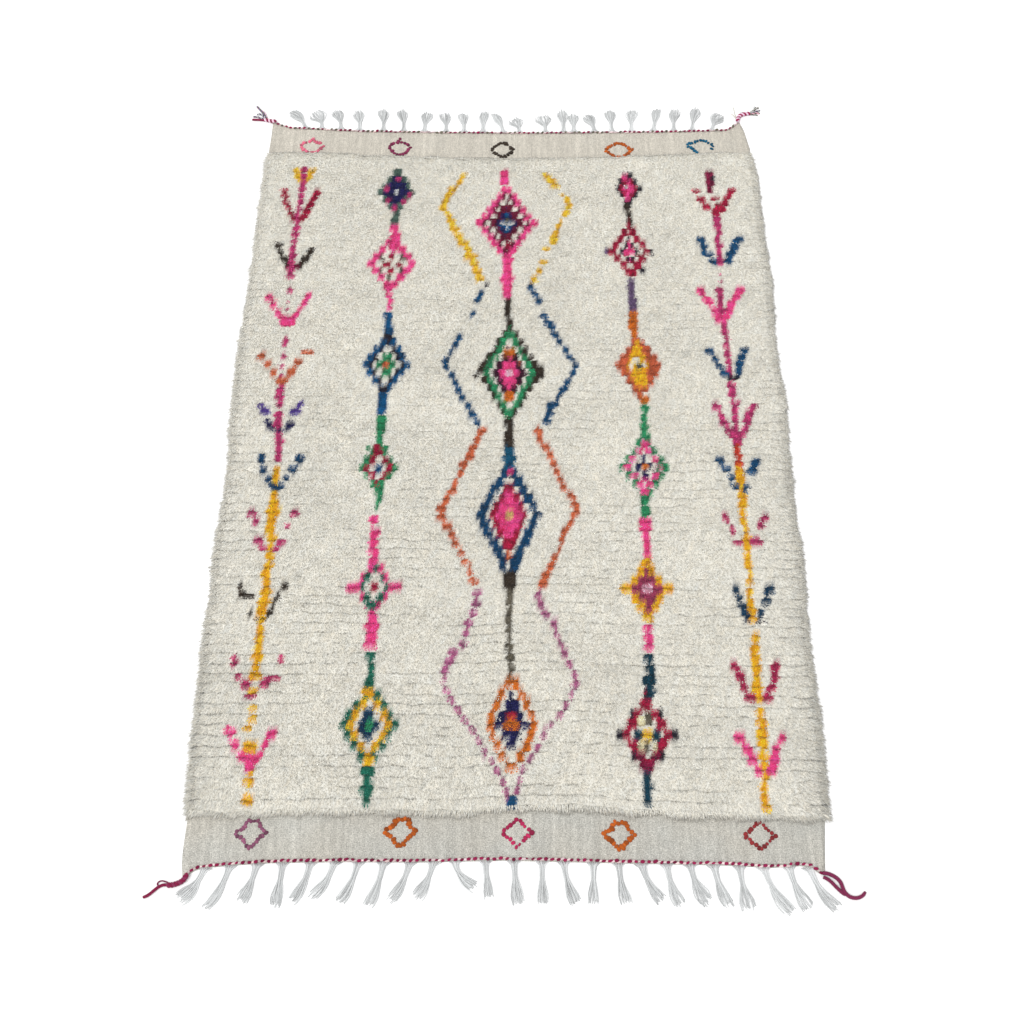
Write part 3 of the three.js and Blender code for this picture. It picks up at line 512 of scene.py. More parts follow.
# Outlines in shares of the half width and half height, each back to its first point unless it is open
OUTLINES = {
    "pointed": [(1, 0), (0.5, 0.52), (0, 1), (-0.5, 0.52), (-1, 0), (-0.5, -0.5), (0, -1), (0.5, -0.5),
                (1, 0)],
    "blunt": [(1, 0.03), (0.6, 0.42), (0.42, 0.86), (0, 0.8), (-0.3, 0.86), (-0.45, 0.42), (-1, 0.02),
              (-0.5, -0.48), (0, -1), (0.5, -0.48), (1, 0.03)],
    "peaked": [(1, -0.05), (0.66, 0.4), (0.2, 0.54), (0, 1), (-0.2, 0.54), (-0.7, 0.4), (-1, -0.05),
               (-0.6, -0.6), (0.05, -0.92), (0.65, -0.6), (1, -0.05)],
    "round": [(1, 0), (0.55, 0.6), (0, 1), (-0.55, 0.6), (-1, 0), (-0.55, -0.62), (0, -1),
              (0.55, -0.62), (1, 0)],
    "open": [(-0.3, -1), (-0.6, -0.3), (-1, 0.15), (-0.5, 0.6), (0, 0.95), (0.5, 0.75), (0.95, 0.2),
             (0.75, -0.6)],
}


def read(table, at):
    """The second column where the first one is at, on straight lines between the rows."""
    rows = sorted(table)
    return np.interp(at, [row[0] for row in rows], [row[1] for row in rows])


def lengthwise(y, near, far):
    """A value that goes from near to far over the length of the rug."""
    return np.interp(y, [-1100, 1100], [near, far])


def linear(wool):
    """A wool's colour as light, from its screen colour."""
    share = np.array(WOOLS[wool]) / 255
    return np.where(share <= 0.04045, share / 12.92, ((share + 0.055) / 1.055) ** 2.4)


def new_camera():
    data = bpy.data.cameras.new("camera")
    data.lens = LENS
    data.sensor_width = SENSOR
    camera = bpy.data.objects.new("camera", data)
    camera.location = CAMERA_PLACE
    camera.rotation_euler = (math.radians(CAMERA_TILT), 0, math.radians(CAMERA_TURN))
    bpy.context.scene.collection.objects.link(camera)
    bpy.context.scene.camera = camera


def studio():
    """Even white light from all round, and a wide soft lamp on the camera's side."""
    scene = bpy.context.scene
    scene.view_settings.view_transform = "Standard"
    world = bpy.data.worlds.new("studio")
    world.use_nodes = True
    sky = world.node_tree.nodes["Background"]
    sky.inputs["Color"].default_value = (1, 1, 1, 1)
    sky.inputs["Strength"].default_value = 0.85
    scene.world = world
    lamp = bpy.data.lights.new("soft_lamp", "SUN")
    lamp.energy = 1.7
    lamp.angle = math.radians(40)
    holder = bpy.data.objects.new("soft_lamp", lamp)
    holder.rotation_euler = (math.radians(16), math.radians(-22), 0)
    scene.collection.objects.link(holder)


def floor():
    bm = bmesh.new()
    bmesh.ops.create_grid(bm, x_segments=1, y_segments=1, size=9)
    piece = to_object("floor", bm, floor_paint())


class Finish:
    """A material's nodes, with short ways to add what the finishes here share."""

    def __init__(self, name, roughness, sheen=0.0):
        self.material = bpy.data.materials.new(name)
        self.material.use_nodes = True
        self.tree = self.material.node_tree
        self.shader = self.tree.nodes["Principled BSDF"]
        self.shader.inputs["Roughness"].default_value = roughness
        self.shader.inputs["Specular IOR Level"].default_value = 0.2
        self.shader.inputs["Sheen Weight"].default_value = sheen

    def add(self, kind, values=(), **settings):
        node = self.tree.nodes.new(kind)
        for key, value in settings.items():
            setattr(node, key, value)
        for key, value in dict(values).items():
            node.inputs[key].default_value = value
        return node

    def link(self, out, into):
        self.tree.links.new(out, into)

    def place(self, stretch=(1, 1, 1)):
        """Object coordinates, stretched."""
        source = self.add("ShaderNodeTexCoord")
        mapping = self.add("ShaderNodeMapping", {"Scale": stretch})
        self.link(source.outputs["Object"], mapping.inputs["Vector"])
        return mapping.outputs["Vector"]

    def along(self):
        """The place from the near end to the far end of the rug, in metres."""
        source = self.add("ShaderNodeTexCoord")
        parts = self.add("ShaderNodeSeparateXYZ")
        self.link(source.outputs["Object"], parts.inputs["Vector"])
        return parts.outputs["Y"]

    def noise(self, scale, detail=2.0, stretch=(1, 1, 1)):
        node = self.add("ShaderNodeTexNoise", {"Scale": scale, "Detail": detail})
        self.link(self.place(stretch), node.inputs["Vector"])
        return node.outputs["Fac"]

    def spread(self, value, low, high, start=0.3, end=0.7):
        """Value from start to end as a factor from low to high."""
        node = self.add("ShaderNodeMapRange",
                        {"From Min": start, "From Max": end, "To Min": low, "To Max": high})
        self.link(value, node.inputs["Value"])
        return node.outputs["Result"]

    def times(self, colour, factor):
        node = self.add("ShaderNodeVectorMath", operation="SCALE")
        self.link(colour, node.inputs[0])
        self.link(factor, node.inputs["Scale"])
        return node.outputs["Vector"]

    def mix(self, share, first, second):
        node = self.add("ShaderNodeMix", data_type="RGBA")
        self.link(share, node.inputs["Factor"])
        for socket, value in ((node.inputs[6], first), (node.inputs[7], second)):
            if isinstance(value, bpy.types.NodeSocket):
                self.link(value, socket)
            else:
                socket.default_value = (*value, 1)
        return node.outputs[2]

    def math(self, operation, first, second):
        node = self.add("ShaderNodeMath", operation=operation)
        for socket, value in zip(node.inputs, (first, second)):
            if isinstance(value, bpy.types.NodeSocket):
                self.link(value, socket)
            else:
                socket.default_value = value
        return node.outputs["Value"]

    def attribute(self, name):
        node = self.add("ShaderNodeAttribute", attribute_name=name)
        return node.outputs["Color"]

    def bump(self, height, distance, strength=1.0):
        node = self.add("ShaderNodeBump", {"Distance": distance, "Strength": strength})
        self.link(height, node.inputs["Height"])
        self.link(node.outputs["Normal"], self.shader.inputs["Normal"])

    def colour(self, socket):
        self.link(socket, self.shader.inputs["Base Color"])
        return self.material


def wool_finish(name, grain, low, high, bump):
    """Wool in the colour that the mesh carries, mottled at the size of its fibres and over the rug."""
    finish = Finish(name, 0.95, sheen=0.15)
    fine = finish.noise(grain, 3.0)
    wide = finish.noise(5.0, 2.0)
    colour = finish.times(finish.attribute("wool"), finish.spread(fine, low, high))
    colour = finish.times(colour, finish.spread(wide, 0.97, 1.03))
    finish.bump(fine, bump)
    return finish.colour(colour)


def weave_finish():
    """Plain weave of undyed wool: ribs both ways, long pale streaks along the warp and warm clouds."""
    finish = Finish("undyed_weave", 0.95, sheen=0.1)
    clouds = finish.noise(6.0, 3.0)
    streaks = finish.noise(90.0, 2.0, (1, 0.05, 1))
    pale = finish.noise(22.0, 1.0, (1, 0.02, 1))
    fleck = finish.noise(310.0, 3.0)
    slub = finish.noise(130.0, 1.0, (1, 0.6, 1))
    warp = finish.add("ShaderNodeTexWave", {"Scale": 46.0, "Distortion": 6.0, "Detail Scale": 2.5},
                      bands_direction="X")
    weft = finish.add("ShaderNodeTexWave", {"Scale": 58.0, "Distortion": 6.0, "Detail Scale": 2.5},
                      bands_direction="Y")
    for wave in (warp, weft):
        finish.link(finish.place(), wave.inputs["Vector"])
    ribs = finish.math("MULTIPLY", warp.outputs["Fac"], weft.outputs["Fac"])
    cloudy = finish.spread(clouds, 0, 0.6, 0.35, 0.65)
    warm = finish.math("ADD", cloudy, finish.spread(finish.along(), 0, 0.9, -1.2, 1.2))
    colour = finish.mix(warm, (0.56, 0.552, 0.506), (0.588, 0.55, 0.476))
    colour = finish.times(colour, finish.spread(finish.along(), 0.848, 0.935, -1.2, 1.2))
    colour = finish.times(colour, finish.spread(streaks, 0.90, 1.08))
    colour = finish.times(colour, finish.spread(pale, 1.0, 1.12, 0.60, 0.70))
    colour = finish.times(colour, finish.spread(fleck, 0.64, 1.32))
    colour = finish.times(colour, finish.spread(slub, 0.90, 1.08))
    colour = finish.times(colour, finish.spread(ribs, 0.93, 1.02, 0.0, 0.5))
    finish.bump(ribs, 0.0008)
    return finish.colour(colour)


def floor_paint():
    finish = Finish("pale_floor", 0.9)
    return finish.colour(finish.mix(finish.noise(3.0), (0.93, 0.93, 0.93), (0.95, 0.95, 0.95)))


def to_object(name, bm, material):
    mesh = bpy.data.meshes.new(name)
    bm.to_mesh(mesh)
    bm.free()
    return place_mesh(name, mesh, material)


def place_mesh(name, mesh, material):
    mesh.materials.append(material)
    mesh.polygons.foreach_set("use_smooth", np.ones(len(mesh.polygons), bool))
    piece = bpy.data.objects.new(name, mesh)
    bpy.context.scene.collection.objects.link(piece)
    return piece


def fit(piece, slot, *nodes):
    """The piece rides on the rug and stands for the nodes, which it hides. The slot is not used."""
    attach(piece, "root")
    if nodes:
        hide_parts(*nodes)
    return piece


def paint(mesh, shades):
    """Write each vertex's colour where the wool finishes look for it."""
    colours = mesh.color_attributes.new("wool", "FLOAT_COLOR", "POINT")
    colours.data.foreach_set("color", shades.ravel())


# A tube's pattern: each vertex's place round it and its ring, each face's corners and first corner, and
# the corners' places on a flat map
Tube = namedtuple("Tube", "across ring corners starts flat")


def tube_mesh(sides, steps, pointed):
    bm = bmesh.new()
    bmesh.ops.create_cone(bm, cap_ends=True, segments=sides, radius1=1, radius2=0 if pointed else 1,
                          depth=1)
    if steps > 1:
        long_edges = [e for e in bm.edges if abs(e.verts[0].co.z - e.verts[1].co.z) > 0.5]
        bmesh.ops.subdivide_edges(bm, edges=long_edges, cuts=steps - 1)
    bm.verts.index_update()
    return bm


def flat_corners(indices, across, ring, side, sides, steps):
    """A face's corners on the flat map, where a cap is a small disc and the wall is a strip."""
    rings = {ring[i] for i in indices}
    if len(rings) == 1:
        shift = 0.05 if rings == {0} else 0.95
        return [(0.5 + 0.45 * across[i, 0], shift + 0.04 * across[i, 1]) for i in indices]
    rim = [i for i in indices if np.any(across[i])]
    seam = {side[i] for i in rim} == {0, sides - 1}
    here = {i: side[i] + (sides if seam and side[i] == 0 else 0) for i in rim}
    middle = sum(here.values()) / len(here)
    return [(here.get(i, middle) / sides, 0.12 + 0.76 * ring[i] / steps) for i in indices]


def tube(sides, steps, pointed=False):
    """A closed tube cut into steps, as arrays."""
    bm = tube_mesh(sides, steps, pointed)
    places = np.array([v.co for v in bm.verts])
    ring = np.rint((places[:, 2] + 0.5) * steps).astype(int)
    radius = np.maximum(np.hypot(places[:, 0], places[:, 1]), 1e-9)
    across = places[:, :2] / radius[:, None] * (radius > 1e-6)[:, None]
    first = math.atan2(across[0, 1], across[0, 0])
    turn = np.arctan2(across[:, 1], across[:, 0]) - first
    side = np.rint(turn / (2 * math.pi) * sides).astype(int) % sides
    corners, starts, flat = [], [], []
    for face in bm.faces:
        indices = [v.index for v in face.verts]
        starts.append(len(corners))
        corners.extend(indices)
        flat.extend(flat_corners(indices, across, ring, side, sides, steps))
    bm.free()
    return Tube(across, ring, np.array(corners), np.array(starts), np.array(flat))


def along_paths(form, paths, radii, twist=0.0):
    """Vertices of the tube laid along each path, with its radius at each ring."""
    ahead = np.gradient(paths, axis=1)
    ahead /= np.linalg.norm(ahead, axis=2, keepdims=True)
    side = np.cross(np.array([0.0, 0.0, 1.0]), ahead)
    side /= np.maximum(np.linalg.norm(side, axis=2, keepdims=True), 1e-9)
    up = np.cross(ahead, side)
    twist = np.broadcast_to(twist, radii.shape)
    cos = np.cos(twist)[..., None]
    sin = np.sin(twist)[..., None]
    first = side * cos + up * sin
    second = up * cos - side * sin
    wide = radii[..., None]
    ring = form.ring
    return (paths[:, ring] + wide[:, ring] * (first[:, ring] * form.across[:, :1]
                                            + second[:, ring] * form.across[:, 1:]))


def copies(name, form, places, colours, material):
    """One mesh of many tubes, with a colour at each ring of each tube and a map cell for each tube."""
    count = len(places)
    per_tube = len(form.ring)
    mesh = bpy.data.meshes.new(name)
    mesh.vertices.add(count * per_tube)
    mesh.vertices.foreach_set("co", (places * MM).astype(np.float32).ravel())
    number = np.arange(count)[:, None]
    mesh.loops.add(count * len(form.corners))
    mesh.loops.foreach_set("vertex_index", (form.corners + number * per_tube).astype(np.int32).ravel())
    mesh.polygons.add(count * len(form.starts))
    mesh.polygons.foreach_set("loop_start",
                              (form.starts + number * len(form.corners)).astype(np.int32).ravel())
    mesh.update(calc_edges=True)
    shades = np.ones((count, per_tube, 4), np.float32)
    shades[..., :3] = colours[:, form.ring]
    paint(mesh, shades)
    cells = math.ceil(math.sqrt(count))
    corner = np.stack([number % cells, number // cells], axis=2)
    layout = (corner + 0.12 + 0.76 * form.flat) / cells
    mesh.uv_layers.new(name="OFBake").data.foreach_set("uv", layout.astype(np.float32).ravel())
    return place_mesh(name, mesh, material)


def slow_noise(x, y, size, seed):
    """Rise and fall between about -1 and 1 over a length of size."""
    total = 0
    for k in range(5):
        angle = seed * 1.7 + k * 1.256
        stretch = size * (0.16 + 0.05 * k)
        total = total + np.sin((x * math.cos(angle) + y * math.sin(angle)) / stretch + seed * (k + 2.3))
    return total / 2.6


def pile_place(x, share):
    """The y of a line of the pile, from 0 at the near end to 1 at the far end."""
    line = 2 * PILE_ROWS * share
    wave = np.sin(x / WAVER_STRETCH + line * WAVER_SHIFT)
    straight = read(PILE_NEAR, x) * (1 - share) + read(PILE_FAR, x) * share
    wobble = ROW_WOBBLE * slow_noise(x, PILE_LENGTH * share, 52, 9)
    return straight + ROW_WAVER * wave * np.sin(math.pi * share) + wobble


def pile_sides(share):
    """Where the tufts begin and end across the rug, at a share of the pile's length."""
    guess = PILE_START + PILE_LENGTH * share
    return read(PILE_LEFT, guess) + PILE_INSET, read(PILE_RIGHT, guess) - PILE_INSET


def side_gaps(x, y):
    """How far a place lies in from the left and from the right side of the pile."""
    return x - read(PILE_LEFT, y), read(PILE_RIGHT, y) - x


def seen_flat(x, y):
    """Where the camera sees, on the floor plane, a point at the pile's tips."""
    camera_x, camera_y, camera_z = (value / MM for value in CAMERA_PLACE)
    grow = 1 / (1 - TIP_HEIGHT / camera_z)
    return camera_x + (x - camera_x) * grow, camera_y + (y - camera_y) * grow


def in_beads(line, number, x, y):
    """Which places a line of beads covers. Each bead has its own width, and some lie a little aside."""
    points = sorted(line.points, key=lambda point: point[1])
    heights = [point[1] for point in points]
    near, far = heights[0], heights[-1]
    pitch = (far - near) / max(1, round((far - near) / CHART_ROW))
    down = (far - y) / pitch
    bead = np.floor(down).astype(int)
    middle_y = far - (bead + 0.5) * pitch
    at = 0.4 * y + 0.6 * middle_y
    middle = np.interp(at, heights, [point[0] for point in points])
    width = np.interp(middle_y, heights, [point[2] for point in points])
    key = (bead * 7 + number * 13) % len(LUCK)
    shape = line.waist + (1 - line.waist) * np.sin(math.pi * (down - bead)) ** 0.7
    fullness = BEAD_FULLNESS + BEAD_VARIETY * SWELL[key]
    half = width / 2 * fullness * shape + lengthwise(y, 0, FAR_SPREAD)
    inside = np.abs(x - middle - BEAD_STRAY * SWELL[key - 1]) < half
    return inside & (y > near) & (y < far) & (LUCK[key] < line.share)


def gem_rings(gem, x, y):
    """Each ring's wool and where it lies."""
    off = x - gem.x
    rise = (y - gem.y) / CHART_ROW
    row = np.rint(rise).astype(int)
    edge = np.abs(rise - row) * 2
    half = np.where(off < 0, gem.left, gem.right)
    rows = np.where(rise < 0, gem.near, gem.far)
    depth = half * (1 - (np.abs(row) / rows) ** gem.full) - np.abs(off) - 4 * edge ** 4
    start = 0
    for wools, width in gem.rings:
        here = (depth >= start) & (depth < start + width)
        if "|" in wools:
            block, between = wools.split("|")
            yield between, here & (edge > BLOCK_SHARE)
            yield block, here & (edge <= BLOCK_SHARE)
        else:
            turns = wools.split("/")
            for turn, wool in enumerate(turns):
                if wool != "-":
                    yield wool, here & (row % len(turns) == turn)
        start += width


def in_spot(spot, x, y):
    return np.abs((x - spot.x) * 2 / spot.wide) ** 3 + np.abs((y - spot.y) * 2 / spot.high) ** 3 < 1.1


def chart_wools(x, y):
    """The name of the wool at each place of the chart."""
    names = np.full(len(x), "cream", dtype=object)
    for number, motif in enumerate(CHART):
        if isinstance(motif, Beads):
            names[in_beads(motif, number, x, y)] = motif.wool
        elif isinstance(motif, Spot):
            names[in_spot(motif, x, y)] = motif.wool
        else:
            for wool, here in gem_rings(motif, x, y):
                names[here] = wool
    return names


def wool_colours(names):
    """Each tuft's own shade of its wool."""
    known = sorted(set(names))
    colours = np.array([linear(name) for name in known])[np.searchsorted(known, names.astype(str))]
    is_cream = names == "cream"
    shade = 1 + chance.normal(0, 1, len(names)) * np.where(is_cream, CREAM_MOTTLE, DYED_MOTTLE)
    colours = colours * np.clip(shade, 0.6, 1.4)[:, None]
    warmth = chance.normal(0, 0.012, len(names))[:, None] * np.array([1, 0, -1.4])
    return np.clip(colours * (1 + warmth), 0.002, 0.92)


# The cloth's grid, with finer steps in the two bands, and how far it runs on under the edge cords
CLOTH_ACROSS = 110
NEAR_BAND_END = 0.062
FAR_BAND_START = 0.938
CLOTH_MARGIN = 4.0


def ground():
    """The cloth from edge cord to edge cord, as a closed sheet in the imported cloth's outline."""
    near_band = np.linspace(0, NEAR_BAND_END, 15)
    middle = np.linspace(NEAR_BAND_END, FAR_BAND_START, 13)[1:]
    far_band = np.linspace(FAR_BAND_START, 1, 15)[1:]
    shares = np.concatenate([near_band, middle, far_band])
    bm = bmesh.new()
    bmesh.ops.create_grid(bm, x_segments=CLOTH_ACROSS, y_segments=len(shares) - 1, size=0.5)
    for v in bm.verts:
        share = shares[round((v.co.y + 0.5) * (len(shares) - 1))]
        guess = CLOTH_START + share * CLOTH_LENGTH
        left = float(read(CLOTH_LEFT, guess))
        right = float(read(CLOTH_RIGHT, guess))
        x = left + (right - left) * (v.co.x + 0.5)
        near = float(read(NEAR_END_LINE, x)) - CLOTH_MARGIN
        far = float(read(FAR_END_LINE, x)) + CLOTH_MARGIN
        v.co = Vector((x, near + (far - near) * share, CLOTH_TOP)) * MM
    lower = bmesh.ops.extrude_face_region(bm, geom=bm.faces[:])
    moved = [g for g in lower["geom"] if isinstance(g, bmesh.types.BMVert)]
    bmesh.ops.translate(bm, verts=moved, vec=(0, 0, -CLOTH_TOP * MM))
    bmesh.ops.recalc_face_normals(bm, faces=bm.faces[:])
    return fit(to_object("flatwoven_ground", bm, weave_finish()), "ground_weave", "ground_weave")


# The mat under the tufts: its grid, its groove between two rows, its shoulder, and its least height over
# the cloth's top at the two ends and elsewhere
BED_ACROSS = 170
GROOVE_DEPTH = 4
SHOULDER_DROP = 7
SHOULDER_WIDTH = 7
SHOULDER_SHIFT = 0.0035
BED_END_HEIGHT = 6
BED_LEAST_HEIGHT = 3


def bed_height(x, y):
    """Top of the mat under the tufts, which rolls off towards the sides."""
    rim = np.minimum(*side_gaps(x, y))
    shoulder = np.exp(-np.maximum(rim, 0) / SHOULDER_WIDTH)
    return BED_TOP + 1.2 * slow_noise(x, y, 180, 3) - SHOULDER_DROP * shoulder


def parting(x, row):
    """How far the pile opens along the near side of a row, from 0 to 1: most near by and at the sides. It
    also sets the painted shadow along the parting.
    """
    y = PILE_START + PILE_LENGTH * row / PILE_ROWS
    rim = np.minimum(*side_gaps(x, y))
    nearness = 1 - row / PILE_ROWS
    reach = 0.8 * slow_noise(x, row * 97.0, 260, 5) + 0.9 * slow_noise(x, row * 61.0, 30, 8)
    opening = 0.05 + 0.5 * nearness + 0.7 * np.exp(-np.maximum(rim, 0) / 40) + reach
    inside = (row > 0) & (row < PILE_ROWS)
    at_side = 0.55 * np.exp(-np.maximum(rim, 0) / 15)
    stroke = np.clip(slow_noise(np.sign(x) * 300, row * 97.0, 60, 12), 0, 1) * nearness
    at_side = at_side + 0.5 * stroke * np.exp(-np.maximum(rim, 0) / 24)
    return inside * np.clip(np.clip(opening, 0, 1) * (0.2 + 0.3 * nearness) + at_side, 0, 0.9)


def bed_top(bm, lines, lines_to_row):
    """The x, y and height of the mat's top, and how deep its groove is, at each vertex of a flat grid."""
    u = np.array([v.co.x + 0.5 for v in bm.verts])
    line = np.rint(np.array([v.co.y + 0.5 for v in bm.verts]) * (len(lines) - 1)).astype(int)
    share = lines[line]
    left, right = pile_sides(share)
    # The columns next to the outermost move outward a little, which makes the shoulder steep
    beside = (np.abs(u - 0.5) > 0.5 - 1.5 / BED_ACROSS) & (np.abs(u - 0.5) < 0.5 - 0.5 / BED_ACROSS)
    x = left + (right - left) * np.where(beside, u + SHOULDER_SHIFT * np.sign(u - 0.5), u)
    y = pile_place(x, 0.001 + 0.998 * share)
    groove = (line % lines_to_row == 0) * parting(x, line // lines_to_row)
    height = bed_height(x, y) - GROOVE_DEPTH * groove
    ends = (line == 0) | (line == len(lines) - 1)
    height = np.maximum(np.where(ends, ON_CLOTH + BED_END_HEIGHT, height), ON_CLOTH + BED_LEAST_HEIGHT)
    return x, y, height, groove


def close_below(bm, height):
    """Walls from a sheet's rim down to a height, and a face under them."""
    walls = bmesh.ops.extrude_edge_only(bm, edges=[e for e in bm.edges if e.is_boundary])
    for vertex in walls["geom"]:
        if isinstance(vertex, bmesh.types.BMVert):
            vertex.co.z = height
    bmesh.ops.holes_fill(bm, edges=[e for e in bm.edges if e.is_boundary])
    bmesh.ops.recalc_face_normals(bm, faces=bm.faces[:])


def pile_bed():
    """The closed mat of wool that the tufts stand in, with a groove between the rows of knots."""
    in_row = np.array([0, 0.12, 0.88])
    lines = np.concatenate([k + in_row for k in range(PILE_ROWS)] + [[PILE_ROWS]]) / PILE_ROWS
    bm = bmesh.new()
    bmesh.ops.create_grid(bm, x_segments=BED_ACROSS, y_segments=len(lines) - 1, size=0.5)
    x, y, height, groove = bed_top(bm, lines, len(in_row))
    for v, px, py, pz in zip(bm.verts, x, y, height):
        v.co = Vector((px, py, pz)) * MM
    close_below(bm, ON_CLOTH * MM)
    names = chart_wools(*seen_flat(x, y))
    # Painted shade: the mat is coloured darker than its wool to stand for the shade between the tufts, most
    # under dyed wool and along the grooves, and its walls and underside are a darker cream
    shades = np.ones((len(bm.verts), 4), np.float32)
    shades[:, :3] = linear("cream") * 0.95
    painted_shade = (1 - 0.5 * groove) * np.where(names == "cream", 0.96, 0.7)
    shades[:len(x), :3] = wool_colours(names) * painted_shade[:, None]
    piece = to_object("pile_bed", bm, wool_finish("pile_roots", 300.0, 0.85, 1.1, 0.0008))
    paint(piece.data, shades)
    return fit(piece, "pile", "pile")


def tuft_field():
    """Root places of all tufts, as x, share of the pile's length, row and place in the row."""
    fields = []
    for row in range(PILE_ROWS):
        for depth in range(TUFTS_DEEP):
            share = (row + (depth + 0.7) / TUFTS_DEEP) / PILE_ROWS
            left, right = pile_sides(share)
            count = int((right - left) / TUFT_SPACING)
            steps = (np.arange(count) + 0.5 + 0.5 * ((row + depth) % 2 - 0.5)) / count
            x = left + (right - left) * steps + chance.normal(0, 1.0, count)
            fields.append(np.column_stack([x, *(np.full(count, value) for value in (share, row, depth))]))
    return np.concatenate(fields)


# Tufts: how open the parting is where each one stands, which side it is combed to and how strongly, how
# near it is from 0 at the far end to 1, and how much it falls over the near band
Tufts = namedtuple("Tufts", "x y row depth opening outward comb nearness fall")

# How far in from the sides the comb reaches, as (y, reach), and the painted shade of a dyed tuft at each
# place in its row, from the near side to the far side, darkest at the edges where two rows meet
COMB_REACH = [(-1100, 52), (-200, 42), (300, 28), (1120, 22)]
PAINTED_ROW_SHADE = np.array([0.54, 0.98, 1.08, 1.12, 1.06, 0.82])

# How the tufts lie: all lean to the near end, the comb lays them outward and down at the sides, and the
# last ones fall over the near band
TUFT_HALF_WIDTH = 2.6
TUFT_RISE = 7.5
NEAR_LEAN = 4.5
COMB_LEAN = 10
COMB_LEAN_NEAR = 6
COMB_DROP = 2.5
FALL_LENGTH = 14
FALL_LEAN = 9
FALL_DROP = 4
ROOT_DEPTH = 2.0
HEM_ROOT_DEPTH = 3.5


def standing_tufts():
    """All tufts but some of those along a parting."""
    field = tuft_field()
    opening = parting(field[:, 0], field[:, 2]) * (field[:, 3] == 0)
    kept = chance.random(len(field)) > 0.5 * opening
    x, share, row, depth = field[kept].T
    y = pile_place(x, share) + chance.uniform(-1.9, 1.9, len(x))
    from_left, from_right = side_gaps(x, y)
    outward = np.where(from_right < from_left, 1, -1)
    comb = np.exp(-np.maximum(np.minimum(from_left, from_right), 0) / read(COMB_REACH, y))
    fall = np.exp(-np.maximum(y - read(PILE_NEAR, x), 0) / FALL_LENGTH)
    return Tufts(x, y, row.astype(int), depth.astype(int), opening[kept], outward, comb,
                 lengthwise(y, 1, 0), fall)


def tuft_wools(tufts):
    """Each tuft's wool by the chart, read a little aside of its tip, so that the marks' edges are loose."""
    x, y = seen_flat(tufts.x, tufts.y)
    stray = 0.8 + 2.2 * (chance.random(len(x)) < 0.08)
    x = x + stray * chance.normal(0, 1, len(x))
    y = y + stray * chance.normal(0, 1, len(y))
    return chart_wools(x, y)


def near_splay(x, y):
    """How far to the right the tufts at the near edge hang, in locks that spread from the middle."""
    return 9 * x / 800 + 3 * slow_noise(x, y, 50, 21)


def tuft_paths(tufts):
    """From root to tip: combed outward at the sides, and down over the band at the near edge."""
    x, y, comb, nearness, fall = tufts.x, tufts.y, tufts.comb, tufts.nearness, tufts.fall
    count = len(x)
    drift = 0.8 * slow_noise(x, y, 420, 2) + 0.5 * slow_noise(x, y, 90, 7)
    lean_x = drift + (COMB_LEAN + COMB_LEAN_NEAR * nearness) * comb * tufts.outward
    lean_x = lean_x + chance.normal(0, 2.0, count)
    lean_y = -(NEAR_LEAN + 0.8 * slow_noise(x, y, 300, 11)) - 4 * comb * nearness
    lean_y = lean_y + chance.normal(0, 2.0, count)
    rise = TUFT_RISE - COMB_DROP * comb + chance.normal(0, 0.9, count)
    lean_y = lean_y - fall * (FALL_LEAN + 5 * chance.random(count))
    lean_x = lean_x + fall * near_splay(x, y)
    rise = rise - FALL_DROP * fall
    hem = (tufts.row == 0) & (tufts.depth < 2)
    base = bed_height(x, y) - np.where(hem, HEM_ROOT_DEPTH, ROOT_DEPTH)
    root = np.column_stack([x, y, base])
    tip = root + np.column_stack([lean_x, lean_y, rise])
    return np.stack([root, tip], axis=1)


def tuft_shades(tufts, names):
    """Colour at the root and the tip, with painted light and shade. Roots are painted darker and tips
    lighter, most for dyed wool, dyed tufts are painted darker at both edges of a row, combed cream roots
    darker and the tips that fall over the near band lighter, each knot has its own shade, and tufts along a
    parting carry its painted shadow."""
    x, row = tufts.x, tufts.row
    dyed = names != "cream"
    row_shade_and_mottle = PAINTED_ROW_SHADE[tufts.depth] * (1 + 0.14 * slow_noise(x, tufts.y, 11, 17))
    knot = (row * 977 + np.floor(x / KNOT_WIDTH + 0.5 * (row % 2)).astype(int)) % len(KNOT_SHADES)
    by_knot = 1 + KNOT_SHADES[knot] * np.where(dyed, 0.28 - 0.1 * tufts.nearness, 0.025)
    # Painted shadow along a parting, and below it painted shade at the roots and painted light at the tips
    parting_shadow = 1 - 0.7 * tufts.opening * chance.random(len(x))
    shadow = parting_shadow * np.where(dyed, row_shade_and_mottle, 1) * by_knot
    painted_root_shade = np.where(dyed, 0.84, 0.92 - 0.3 * tufts.comb * tufts.nearness)
    painted_tip_light = np.where(dyed, 1.34, 1.05 + 0.05 * tufts.fall)
    fade = np.column_stack([painted_root_shade, painted_tip_light]) * shadow[:, None]
    return np.clip(wool_colours(names)[:, None, :] * fade[:, :, None], 0, 0.98)


def tapered(form, paths, half_width):
    """Pointed tufts along the paths, each with its own width and turn."""
    count = len(paths)
    radii = np.column_stack([half_width * (1 + chance.normal(0, 0.1, count)), np.zeros(count)])
    return along_paths(form, paths, radii, chance.uniform(0, 2 * math.pi, (count, 1)))


def pile_tufts():
    """The shag: short tufts of wool in rows, in lengthwise strips so that no piece is too large."""
    tufts = standing_tufts()
    names = tuft_wools(tufts)
    form = tube(3, 1, pointed=True)
    places = tapered(form, tuft_paths(tufts), TUFT_HALF_WIDTH)
    shades = tuft_shades(tufts, names)
    material = wool_finish("pile_wool", 330.0, 0.82, 1.15, 0.0005)
    across = (tufts.x - STRIPS_START) / STRIPS_WIDTH
    strip = np.clip((across * STRIPS).astype(int), 0, STRIPS - 1)
    pieces = []
    for k in range(STRIPS):
        here = strip == k
        piece = copies(f"shag_{k + 1}", form, places[here], shades[here], material)
        pieces.append(fit(piece, "pile", "pile"))
    return pieces


